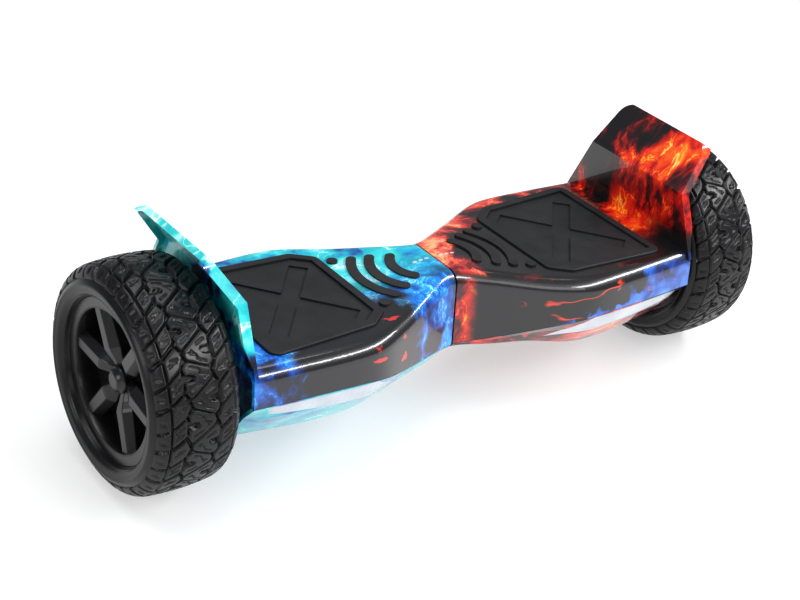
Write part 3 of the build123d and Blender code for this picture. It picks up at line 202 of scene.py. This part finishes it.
def flames(g, level, scale, palette, stretch=(1, 1, 1), turn=(0, 0, 0), depth=0.75):
    """A printed picture of curling flames: broad tongues with fine bright wisps along their edges."""
    base = g.moved(stretch, turn)
    curled = g.swirled(scale * 0.55, 1.9 / scale, base)
    tongues = g.noise(scale, 6.0, curled, rough=0.60)
    threads = g.noise(scale * 1.3, 4.0, g.swirled(scale * 0.9, 1.4 / scale, base), rough=0.55)
    thread = g.smooth(g.math("ABSOLUTE", g.math("SUBTRACT", threads, 0.5)), 0.030, 0.0)
    heat = g.math("MULTIPLY_ADD", g.math("SUBTRACT", tongues, 0.5), depth * 2.6, level)
    lift = g.both(thread, g.smooth(heat, 0.36, 0.62))
    return g.ramp(g.math("MULTIPLY_ADD", lift, 0.20, heat), palette)


def level_of(g, *steps):
    """Sum of weighted masks, used as the mean brightness of a print over the shell."""
    total = steps[0]
    for weight, mask in steps[1:]:
        total = g.math("MULTIPLY_ADD", mask, weight, total)
    return total


def lacquer(name):
    return Graph(name, Roughness=0.32, Coat_Weight=1.0, Coat_Roughness=0.035, Coat_IOR=1.5)


def shell_fire(name, belly):
    """Black with fire: coals at the seam, blaze on the mudguard, blue tips along the foot of the front."""
    g = lacquer(name)
    front = g.smooth(g.ny, -0.35, -0.75)
    if belly:
        level = level_of(g, 0.40, (0.06, front), (-0.10, g.smooth(g.x, 0.20, 0.26)))
        g.colour(flames(g, level, 24, FIRE, (0.6, 1, 1.3)))
        return g.mat
    guard = g.smooth(g.z, 0.153, 0.166)
    back = g.smooth(g.y, 0.00, 0.07)
    waist = g.smooth(g.x, 0.080, 0.015)
    root = g.both(g.smooth(g.x, 0.222, 0.250), g.smooth(g.y, -0.055, -0.02))
    deck = flames(g, level_of(g, 0.14, (0.26, back), (0.40, waist), (0.34, root)), 24, EMBER, (0.7, 1, 1))
    lean = g.math("ADD", g.y, g.math("MULTIPLY_ADD", g.z, 0.35, -0.052))
    vein = g.smooth(g.math("ABSOLUTE", lean), 0.040, 0.004)
    gloom = g.both(g.smooth(g.y, 0.010, 0.045), g.smooth(g.z, 0.17, 0.21))
    blaze_level = level_of(g, 0.42, (0.10, g.smooth(g.y, 0.03, -0.02)), (0.16, vein), (-0.10, gloom))
    blaze = flames(g, blaze_level, 34, FIRE, (1, 1, 0.5), (18, 0, 0), 0.66)
    colour = g.blend(g.either(guard, root), deck, blaze)
    curl = g.moved((0.5, 1, 1.6))
    contour = g.math("SUBTRACT", g.noise(14, 3.0, g.swirled(16, 0.03, curl)), 0.5)
    line = g.smooth(g.math("ABSOLUTE", contour), 0.012, 0.003)
    broken = g.smooth(g.noise(30, 2.0, curl), 0.50, 0.58)
    line = g.both(line, broken, g.smooth(g.x, 0.24, 0.20), g.smooth(g.x, 0.05, 0.09))
    face = g.blend(line, (0.007, 0.006, 0.008), (0.70, 0.05, 0.012))
    face = g.blend(g.smooth(g.x, 0.024, 0.010), face, flames(g, 0.52, 26, FIRE))
    cool = g.noise(38, 4.0, g.swirled(26, 0.05))
    foot = g.math("MULTIPLY_ADD", g.x, 0.30, 0.040)
    reach = g.math("SUBTRACT", g.math("MULTIPLY_ADD", cool, 0.065, foot), g.z)
    low = g.both(g.smooth(reach, 0.000, 0.006), g.smooth(g.x, 0.085, 0.11), g.smooth(g.x, 0.215, 0.20))
    outer = g.math("MULTIPLY_ADD", cool, 0.05, g.x)
    patch = g.both(g.smooth(outer, 0.222, 0.230), g.smooth(g.z, 0.147, 0.140))
    face = g.blend(g.either(low, patch), face, g.ramp(g.noise(34, 5.0, g.swirled(22, 0.05)), BLUE_FLAME))
    g.colour(g.blend(g.both(front, g.math("SUBTRACT", 1.0, guard)), colour, face))
    return g.mat


def shell_ice(name, belly):
    """Turquoise and white flames at the back, deep blue ones in front, with a burnt zone beside the pad."""
    g = lacquer(name)
    front = g.smooth(g.ny, -0.35, -0.75)
    if belly:
        g.colour(flames(g, level_of(g, 0.46, (0.02, front)), 24, TEAL_ICE, (0.6, 1, 1.2), (0, 0, 0), 0.5))
        return g.mat
    away = g.math("MULTIPLY", g.x, -1.0)
    back = g.smooth(g.y, -0.050, 0.030)
    guard = g.smooth(g.z, 0.153, 0.166)
    blotch = g.smooth(g.noise(15, 3.0, g.swirled(12, 0.08)), 0.54, 0.62)
    teal_level = level_of(g, 0.56, (0.05, back), (0.12, g.smooth(g.z, 0.20, 0.245)), (-0.22, blotch),
                          (-0.12, g.both(guard, blotch)))
    teal = flames(g, teal_level, 26, TEAL_ICE, (0.8, 1, 0.8), (0, 20, 0), 0.50)
    deep_level = level_of(g, 0.52, (-0.03, front), (-0.16, blotch))
    deep = flames(g, deep_level, 30, DEEP_ICE, (1, 1, 0.6), (0, 0, 0), 0.55)
    outer = g.smooth(away, 0.225, 0.25)
    colour = g.blend(g.either(g.math("MULTIPLY", back, 0.9), g.both(guard, outer)), deep, teal)
    ragged = g.math("MULTIPLY_ADD", g.noise(26, 4.0, g.swirled(20, 0.06)), 0.08, away)
    night = g.both(g.smooth(ragged, 0.098, 0.112), g.smooth(ragged, 0.268, 0.250),
                   g.smooth(g.y, -0.012, -0.045), g.smooth(g.z, 0.158, 0.152))
    mark = g.noise(60, 3.0, g.swirled(30, 0.02, g.moved((0.6, 1, 1.2))))
    mark = g.both(g.smooth(mark, 0.635, 0.67), g.smooth(away, 0.08, 0.095), g.smooth(away, 0.165, 0.145))
    dark = g.blend(mark, (0.006, 0.006, 0.008), (0.60, 0.03, 0.025))
    g.colour(g.blend(night, colour, dark))
    return g.mat


def rubber_pad():
    g = Graph("pad rubber", Specular_IOR_Level=0.36)
    g.colour(g.ramp(g.noise(45, 5.0), [(0.3, (0.014, 0.015, 0.016)), (0.7, (0.022, 0.023, 0.025))]))
    g.roughness(0.46, 0.60, 70)
    brushed = g.noise(700, 2.0, g.moved((0.12, 1, 1), (0, 0, 38)))
    g.bump(brushed, 0.10, 0.0003)
    return g.mat


def tyre_rubber():
    g = Graph("tyre rubber", Specular_IOR_Level=0.42)
    dusty = g.math("MULTIPLY_ADD", g.noise(30, 5.0), 0.5, g.math("MULTIPLY", g.noise(400, 3.0), 0.5))
    g.colour(g.ramp(dusty, [(0.35, (0.005, 0.005, 0.006)), (0.65, (0.012, 0.012, 0.013))]))
    g.roughness(0.24, 0.40, 35)
    g.bump(g.noise(1200, 3.0), 0.12, 0.0003)
    return g.mat


def milky_lens():
    g = Graph("lamp lens", Roughness=0.22, Coat_Weight=0.6, Coat_Roughness=0.08, Subsurface_Weight=0.25,
              Subsurface_Scale=0.01)
    ribs = g.math("SINE", g.math("MULTIPLY", g.x, 900.0))
    tone = g.math("MULTIPLY_ADD", ribs, 0.02, g.noise(30, 3.0))
    g.colour(g.ramp(tone, [(0.3, (0.50, 0.54, 0.60)), (0.7, (0.66, 0.69, 0.75))]))
    return g.mat


def wound_core():
    g = Graph("motor core", Metallic=0.9)
    wire_ripple_and_shade = g.math("SINE", g.math("MULTIPLY", g.x, 5200.0))
    # painted shade and highlight: the windings' colour darkens in the dips between the wires and lightens
    # on their crests, following the same ripple as the bump
    g.colour(g.ramp(wire_ripple_and_shade, [(0.2, (0.30, 0.10, 0.04)), (0.8, (0.72, 0.30, 0.14))]))
    g.roughness(0.25, 0.4, 80)
    g.bump(wire_ripple_and_shade, 0.4, 0.0004)
    return g.mat


def circuit():
    g = Graph("circuit board", Coat_Weight=0.4, Coat_Roughness=0.15)
    lines = g.noise(180, 1.0, g.moved((1, 0.15, 1)))
    g.colour(g.ramp(lines, [(0.48, (0.004, 0.07, 0.025)), (0.52, (0.02, 0.16, 0.06))]))
    g.roughness(0.3, 0.45, 90)
    return g.mat


LOOKS = {
    "fire_top": shell_fire("fire print", False),
    "fire_belly": shell_fire("fire print, belly", True),
    "ice_top": shell_ice("ice print", False),
    "ice_belly": shell_ice("ice print, belly", True),
    "pad": rubber_pad(),
    "tyre": tyre_rubber(),
    "lens": milky_lens(),
    "core": wound_core(),
    "circuit": circuit(),
    "indicator": plain("indicator lens", (0.45, 0.48, 0.52), (0.6, 0.63, 0.67), (0.25, 0.35),
                       Coat_Weight=0.5),
    "grip": plain("grip rubber", (0.012, 0.012, 0.013), (0.020, 0.020, 0.022), (0.42, 0.56), grain=0.12),
    "satin": plain("satin black", (0.006, 0.006, 0.007), (0.011, 0.011, 0.012), (0.26, 0.36), grain=0.06,
                   Coat_Weight=0.25, Coat_Roughness=0.2),
    "cap": plain("trim black", (0.006, 0.006, 0.007), (0.011, 0.011, 0.012), (0.26, 0.36), grain=0.05,
                 Coat_Weight=0.2, Coat_Roughness=0.15),
    "motor": plain("motor cover alloy", (0.010, 0.010, 0.011), (0.020, 0.020, 0.022), (0.35, 0.5),
                   metal=0.4, grain=0.1),
    "cast": plain("cast frame alloy", (0.36, 0.37, 0.38), (0.48, 0.49, 0.50), (0.42, 0.6),
                  metal=0.9, grain=0.35, grain_scale=420),
    "steel": plain("machined steel", (0.50, 0.50, 0.51), (0.62, 0.62, 0.63), (0.2, 0.32),
                   metal=1.0, grain=0.05),
    "screw": plain("screw steel", (0.06, 0.06, 0.065), (0.11, 0.11, 0.115), (0.28, 0.4),
                   metal=0.9, grain=0.05),
    "magnet": plain("magnet plating", (0.44, 0.44, 0.46), (0.6, 0.6, 0.62), (0.12, 0.22),
                    metal=1.0, grain=0.03),
    "brass": plain("bush bronze", (0.50, 0.30, 0.10), (0.66, 0.42, 0.16), (0.24, 0.36),
                   metal=1.0, grain=0.06),
    "black": plain("black plastic", (0.012, 0.012, 0.013), (0.020, 0.020, 0.022), (0.34, 0.5),
                   grain=0.15),
    "white": plain("white plastic", (0.62, 0.62, 0.60), (0.76, 0.76, 0.74), (0.38, 0.5), grain=0.08),
    "sheath": plain("cable sheath", (0.012, 0.012, 0.013), (0.024, 0.024, 0.026), (0.4, 0.55), grain=0.1),
    "grommet": plain("grommet rubber", (0.02, 0.02, 0.02), (0.035, 0.035, 0.036), (0.5, 0.65),
                     grain=0.12),
    "battery": plain("battery wrap", (0.004, 0.05, 0.22), (0.01, 0.09, 0.32), (0.18, 0.3),
                     grain=0.05, Coat_Weight=0.5),
    "ring": plain("button ring", (0.05, 0.05, 0.055), (0.09, 0.09, 0.095), (0.2, 0.3),
                  metal=0.9, grain=0.03),
    "button": plain("button cap", (0.30, 0.01, 0.01), (0.42, 0.02, 0.015), (0.25, 0.35),
                    Coat_Weight=0.5, Coat_Roughness=0.1),
}

NODE_LOOKS = {
    "lamp_lens": "lens", "lamp_strip": "white", "foot_pad": "pad", "grip_strips": "grip",
    "grip_dots": "grip", "indicator_lenses": "indicator", "bottom_cover_screws": "screw",
    "top_cover_screws": "screw", "chassis": "cast", "axle_clamp": "cast", "axle_clamp_bolts": "screw",
    "gyro_board": "circuit", "pad_sensors": "black", "motor_axle": "steel", "motor_stator": "core",
    "motor_magnets": "magnet", "wheel_rim": "satin", "motor_cover": "motor", "wheel_bearings": "steel",
    "tyre": "tyre", "wheel_cap": "cap", "harness_plug": "white", "pivot_shaft": "steel",
    "pivot_pins": "steel", "pivot_bushes": "brass", "pivot_retaining_ring": "steel",
    "harness_cable": "sheath", "harness_grommets": "grommet", "battery_pack": "battery",
    "main_board": "circuit", "power_button_housing": "ring", "power_button": "button",
    "charge_socket": "black", "panel_nuts": "screw",
}


def dress(piece, look):
    piece.data.materials.clear()
    piece.data.materials.append(LOOKS[look])


for name, node in nodes.items():
    side, _, part = name.partition("_")
    if part in ("top_cover", "bottom_cover"):
        look = {"left": "ice", "right": "fire"}[side] + ("_top" if part == "top_cover" else "_belly")
    else:
        look = NODE_LOOKS[part if side in ("left", "right") else name]
    dress(node, look)
    if look in ("pad", "grip"):
        rounded = node.modifiers.new("worn edges", "BEVEL")
        rounded.width = 0.5 * MM
        rounded.segments = 2
        rounded.limit_method = "ANGLE"
        rounded.angle_limit = math.radians(35)


# ------------------------------------------------------------------ mesh helpers

def mesh_piece(name, verts, faces, look, body, slot, stands_for=(), crease=34.0):
    mesh = bpy.data.meshes.new(name)
    mesh.from_pydata([tuple(v) for v in verts], [], [tuple(f) for f in faces])
    mesh.validate()
    piece = bpy.data.objects.new(name, mesh)
    bpy.context.scene.collection.objects.link(piece)
    mesh.polygons.foreach_set("use_smooth", [True] * len(mesh.polygons))
    if crease:
        mesh.set_sharp_from_angle(angle=math.radians(crease))
    mesh.materials.append(LOOKS[look])
    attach(piece, body)
    if stands_for:
        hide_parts(*stands_for)
    return piece


# ------------------------------------------------------------------ tyres

PITCHES = 16
PITCH = 2 * math.pi * TYRE_R / MM / PITCHES
TREAD_EDGE = 47.0
GROOVE = 4.8

# Blocks of one pitch in mm: across the tread, then along it
SEVEN = [(-9.2, 7.6), (-11, 11.4), (-9.2, 15.6), (9.5, 24.6), (14, 21.6), (14.6, 14.9), (6.6, 13.4),
         (4.2, 10.4), (6.2, 7.2), (13.8, 6.4), (15.2, -1.2), (12, -6.4)]
SLANT = [(18.0, 1.6), (18.0, 17.4), (29.6, 9.0), (29.6, -7.4)]
HEXAGON = [(17.6, 20.8), (13.6, 29.6), (17.6, 38.8), (29.6, 30.6), (29.6, 12.4)]
SHOULDERS = [[(32.4, -9.4), (32.4, 6.8), (46.2, 2.0), (46.2, -13.0)],
             [(32.4, 10.2), (32.4, 28.6), (46.2, 23.0), (46.2, 5.4)]]
SIPES = [((-6, 10.6), (0.5, 13.4)), ((8.4, 20.4), (0.6, 17.2)), ((10.6, 0.4), (2.2, 4.2)),
         ((-3.2, 9.0), (2.2, 18.6)),
         ((20.2, 5.4), (27.4, 0.4)), ((20.2, 11.6), (27.4, 6.2)), ((18.4, 30.0), (27.0, 24.0))]
PITS = [(24.2, 3.4, 2.6, 1.5), (22.4, 28.4, 2.8, 1.6), (38.6, -3.6, 2.8, 1.8), (38.4, 16.4, 3.0, 2.0)]


SIDEWALL = [  # inset from the tyre's side and radius in mm, from the shoulder to the bead
    (1.3, 91.2), (0.5, 90.2), (0.15, 88.6), (0.9, 87.6), (1.0, 85.4), (1.8, 82.6), (3.4, 80.4), (4.6, 79.6),
    (4.9, 78.9), (6.6, 78.2), (9.6, 77.7), (12.4, 76.6), (13.2, 73.5), (13.4, 71.2)]


def polygon_distance(points, outline):
    """Signed distance to a polygon, negative inside."""
    best = np.full(len(points), 1e9)
    inside = np.zeros(len(points), bool)
    for (ax, ay), (bx, by) in zip(outline, outline[1:] + outline[:1]):
        a, e = np.array((ax, ay)), np.array((bx - ax, by - ay))
        w = points - a
        t = np.clip((w @ e) / (e @ e), 0, 1)
        best = np.minimum(best, np.linalg.norm(w - t[:, None] * e, axis=1))
        crosses = ((ay > points[:, 1]) != (by > points[:, 1])) & (
            points[:, 0] < (bx - ax) * (points[:, 1] - ay) / (by - ay + 1e-12) + ax)
        inside ^= crosses
    return np.where(inside, -best, best)


def segment_distance(points, ends):
    a, e = np.array(ends[0]), np.array(ends[1]) - np.array(ends[0])
    t = np.clip(((points - a) @ e) / (e @ e), 0, 1)
    return np.linalg.norm(points - a - t[:, None] * e, axis=1)


def ease(t):
    t = np.clip(t, 0, 1)
    return t * t * (3 - 2 * t)


def tread_depth(across, along):
    """How far the rubber lies under the crown, in mm, on a grid over one pitch."""
    grid = np.array(np.meshgrid(across, along, indexing="ij")).reshape(2, -1).T
    outer = [SLANT, HEXAGON] + SHOULDERS
    solid = np.full(len(grid), 1e9)
    cut = np.zeros(len(grid))
    for mirror in (1, -1):
        turned = grid * mirror
        for shift in (-2, -1, 0, 1, 2):
            here = turned - (0, shift * PITCH)
            for outline in [SEVEN] + outer:
                solid = np.minimum(solid, polygon_distance(here, outline))
            for ends in SIPES:
                cut = np.maximum(cut, 0.34 * (1 - ease((segment_distance(here, ends) - 0.3) / 0.6)))
            for u, s, half_u, half_s in PITS:
                box = np.maximum(abs(here[:, 0] - u) - half_u, abs(here[:, 1] - s) - half_s)
                cut = np.maximum(cut, 0.20 * ease((0.3 - box) / 0.7))
    raised = ease((0.95 - solid) / 0.8)
    return (GROOVE * (1 - raised * (1 - cut))).reshape(len(across), len(along))


def crown(v):
    """Point and outward normal of the tread's outer curve, at arc length v from its middle."""
    flat, big, small, last = 28.0, 240.0, 15.5, 72.0
    turn = min(abs(v), flat) / big
    x, r = big * math.sin(turn), -big * (1 - math.cos(turn))
    if abs(v) > flat:
        start = flat / big
        turn = min(start + (abs(v) - flat) / small, math.radians(last))
        x += small * (math.sin(turn) - math.sin(start))
        r -= small * (math.cos(start) - math.cos(turn))
    side = 1 if v >= 0 else -1
    return side * x, TYRE_R / MM + r, side * math.sin(turn), math.cos(turn)


def tyre_mesh(side):
    step = 0.95
    across = np.linspace(-TREAD_EDGE, TREAD_EDGE, int(2 * TREAD_EDGE / step))
    count = int(PITCH / step)
    depth = tread_depth(across, np.arange(count) * PITCH / count)
    total = count * PITCHES
    rows = []
    for v, line in zip(across, depth):
        x, r, nx, nr = crown(v)
        fade = 1 - 0.45 * ease((abs(v) - 33) / 13)
        drop = np.tile(line, PITCHES) * fade
        rows.append((x - nx * drop, r - nr * drop))
    edge_x, edge_r = crown(TREAD_EDGE)[:2]
    half = TYRE_HALF / MM
    wall = [(edge_x + 0.4, edge_r - 1.6)] + [(half - inset, r) for inset, r in SIDEWALL]
    inside = [(20.0, 71.0), (24.0, 78.0), (half - 9.0, 89.0), (half - 14.0, 98.5), (20.0, 100.6),
              (0.0, 101.2)]
    for x, r in wall + inside:
        rows.append((np.full(total, x), np.full(total, r)))
    for x, r in inside[-2::-1] + wall[::-1]:
        rows.append((np.full(total, -x), np.full(total, r)))
    angle = np.arange(total) * 2 * math.pi / total
    verts = np.concatenate([
        np.stack([side * WHEEL_X - x * MM, -r * MM * np.cos(angle), AXLE_Z + r * MM * np.sin(angle)],
                 axis=1) for x, r in rows])
    index = np.arange(len(rows) * total).reshape(len(rows), total)
    after, aside = np.roll(index, -1, axis=0), np.roll(index, -1, axis=1)
    faces = np.stack([index, aside, np.roll(after, -1, axis=1), after], axis=-1).reshape(-1, 4)
    return verts, faces


for side, word in ((-1, "left"), (1, "right")):
    verts, faces = tyre_mesh(side)
    mesh_piece(word + "_tread", verts, faces, "tyre", word + "_wheel", "tyre", [word + "_tyre"], crease=0)


# ------------------------------------------------------------------ wheel trims

BLADE_ANGLES = (5, 61, 126, 187, 246, 307)
BLADE = [  # distance from the axle, half width, face height, back height
    (5.0, 6.4, 22.0, 12.0), (14.0, 7.2, 24.0, 11.0), (20.0, 8.6, 26.4, 10.0), (26.0, 11.2, 29.0, 9.0),
    (29.0, 11.8, 30.0, 8.6), (38.0, 11.4, 30.2, 8.0), (50.0, 11.0, 30.6, 8.0), (67.4, 10.6, 31.2, 8.0)]
RIDGE = 0.46
BLADE_FALL = 7.0
NOSE = [(0.0, 31.0), (7.0, 31.0), (8.6, 30.2), (10.6, 27.6), (12.4, 26.6), (13.2, 25.2), (13.4, 15.0),
        (13.4, 5.0)]
BARREL = [(68.0, 33.6), (67.6, 33.9), (66.9, 33.7), (66.3, 32.6), (65.6, 27.0), (64.9, 19.0), (64.4, 9.0),
          (63.0, 5.4),
          (60.0, 4.2), (60.0, 3.6), (68.0, 3.6)]


def turned(profile, centre, side, segments):
    """Surface of revolution about the axle; the profile gives radius and height over the wheel's middle."""
    verts, faces = [], []
    for r, h in profile:
        for k in range(segments):
            a = 2 * math.pi * k / segments
            verts.append((centre + side * h * MM, r * MM * math.cos(a), AXLE_Z + r * MM * math.sin(a)))
    for i in range(len(profile) - 1):
        for k in range(segments):
            n = (k + 1) % segments
            here, above = i * segments, (i + 1) * segments
            faces.append((here + k, here + n, above + n, above + k))
    return verts, faces


def blade_mesh(angle, centre, side):
    verts, faces = [], []
    ca, sa = math.cos(math.radians(angle)), math.sin(math.radians(angle))
    for r, half, face, back in BLADE:
        ridge = half * RIDGE
        fall = face - BLADE_FALL * half / BLADE[-1][1]
        section = ((-ridge, face), (ridge, face), (half, fall), (half - 1, back), (1 - half, back),
                   (-half, fall))
        for t, h in section:
            verts.append((centre + side * h * MM, (r * ca - t * sa) * MM, AXLE_Z + (r * sa + t * ca) * MM))
    ring = 6
    for i in range(len(BLADE) - 1):
        for k in range(ring):
            n = (k + 1) % ring
            faces.append((i * ring + k, i * ring + n, (i + 1) * ring + n, (i + 1) * ring + k))
    faces.append(tuple(range(ring))[::-1])
    faces.append(tuple((len(BLADE) - 1) * ring + k for k in range(ring)))
    return verts, faces


def joined(parts):
    verts, faces = [], []
    for v, f in parts:
        faces += [tuple(i + len(verts) for i in face) for face in f]
        verts += [tuple(p) for p in v]
    return verts, faces


def outward(piece):
    """Turns every face the right way round."""
    work = bmesh.new()
    work.from_mesh(piece.data)
    bmesh.ops.recalc_face_normals(work, faces=work.faces)
    work.to_mesh(piece.data)
    work.free()


def flat_shaded(piece, width, steepest):
    """Flat faces with their edges rounded a little."""
    piece.data.polygons.foreach_set("use_smooth", [False] * len(piece.data.polygons))
    bevel = piece.modifiers.new("edges", "BEVEL")
    bevel.width = width
    bevel.segments = 2
    bevel.limit_method = "ANGLE"
    bevel.angle_limit = math.radians(steepest)


for side, word in ((-1, "left"), (1, "right")):
    centre = side * WHEEL_X
    blades = joined([blade_mesh(angle, centre, side) for angle in BLADE_ANGLES])
    trim = mesh_piece(word + "_blades", *blades, "cap", word + "_wheel", "cap_black",
                      [word + "_wheel_cap"], crease=0)
    outward(trim)
    flat_shaded(trim, 0.7 * MM, 24)
    core = joined([turned(NOSE, centre, side, 64), turned(BARREL, centre, side, 128)])
    hub = mesh_piece(word + "_hub_and_barrel", *core, "cap", word + "_wheel", "cap_black", crease=24)
    outward(hub)


# ------------------------------------------------------------------ studio

def area_light(name, place, aim, size, power, colour=(1, 1, 1)):
    data = bpy.data.lights.new(name, "AREA")
    data.shape = "RECTANGLE"
    data.size, data.size_y = size
    data.energy = power
    data.color = colour
    lamp = bpy.data.objects.new(name, data)
    bpy.context.scene.collection.objects.link(lamp)
    lamp.location = place
    lamp.rotation_euler = (Vector(aim) - Vector(place)).to_track_quat("-Z", "Y").to_euler()
    return lamp


area_light("overhead", (-0.2, 0.5, 2.6), (0, 0, 0), (2.6, 1.8), 40)
area_light("front strip", (1.0, -1.05, 1.38), (0, -0.1, 0.14), (2.6, 0.26), 34)
area_light("left fill", (-2.4, -0.6, 1.3), (-0.3, 0, 0.1), (1.2, 1.0), 13)
area_light("front fill", (-0.4, -2.4, 1.2), (0, 0, 0.1), (1.6, 0.8), 8)

world = bpy.data.worlds.new("studio")
bpy.context.scene.world = world
world.use_nodes = True
world.node_tree.nodes["Background"].inputs[0].default_value = (0.93, 0.95, 1.0, 1.0)
world.node_tree.nodes["Background"].inputs[1].default_value = 0.26

floor_mesh = bpy.data.meshes.new("floor")
floor_mesh.from_pydata([(-14, -14, 0), (14, -14, 0), (14, 14, 0), (-14, 14, 0)], [], [(0, 1, 2, 3)])
floor = bpy.data.objects.new("floor", floor_mesh)
bpy.context.scene.collection.objects.link(floor)
g = Graph("paper", Roughness=0.9, Specular_IOR_Level=0.1)
g.colour(g.ramp(g.noise(3, 3.0), [(0.3, (0.49, 0.49, 0.49)), (0.7, (0.50, 0.50, 0.50))]))
g.shader.inputs["Emission Color"].default_value = (1, 1, 1, 1)
g.shader.inputs["Emission Strength"].default_value = 0.44
floor_mesh.materials.append(g.mat)

camera_data = bpy.data.cameras.new("camera")
camera_data.sensor_width = 36.0
camera_data.lens = 79.1
camera = bpy.data.objects.new("camera", camera_data)
bpy.context.scene.collection.objects.link(camera)
yaw, pitch, roll = math.radians(39.81), math.radians(29.22), math.radians(7.32)
ahead = Vector((math.sin(yaw) * math.cos(pitch), math.cos(yaw) * math.cos(pitch), -math.sin(pitch)))
flat_right = Vector((math.cos(yaw), -math.sin(yaw), 0))
flat_up = flat_right.cross(ahead)
right = flat_right * math.cos(roll) + flat_up * math.sin(roll)
up = flat_up * math.cos(roll) - flat_right * math.sin(roll)
camera.matrix_world = Matrix.Translation((-1.0002, -1.1575, 0.956)) @ Matrix(
    (right, up, -ahead)).transposed().to_4x4()
camera_data.clip_start, camera_data.clip_end = 0.05, 60
bpy.context.scene.camera = camera
bpy.context.scene.view_settings.view_transform = "Standard"
bpy.context.scene.view_settings.look = "Medium High Contrast"
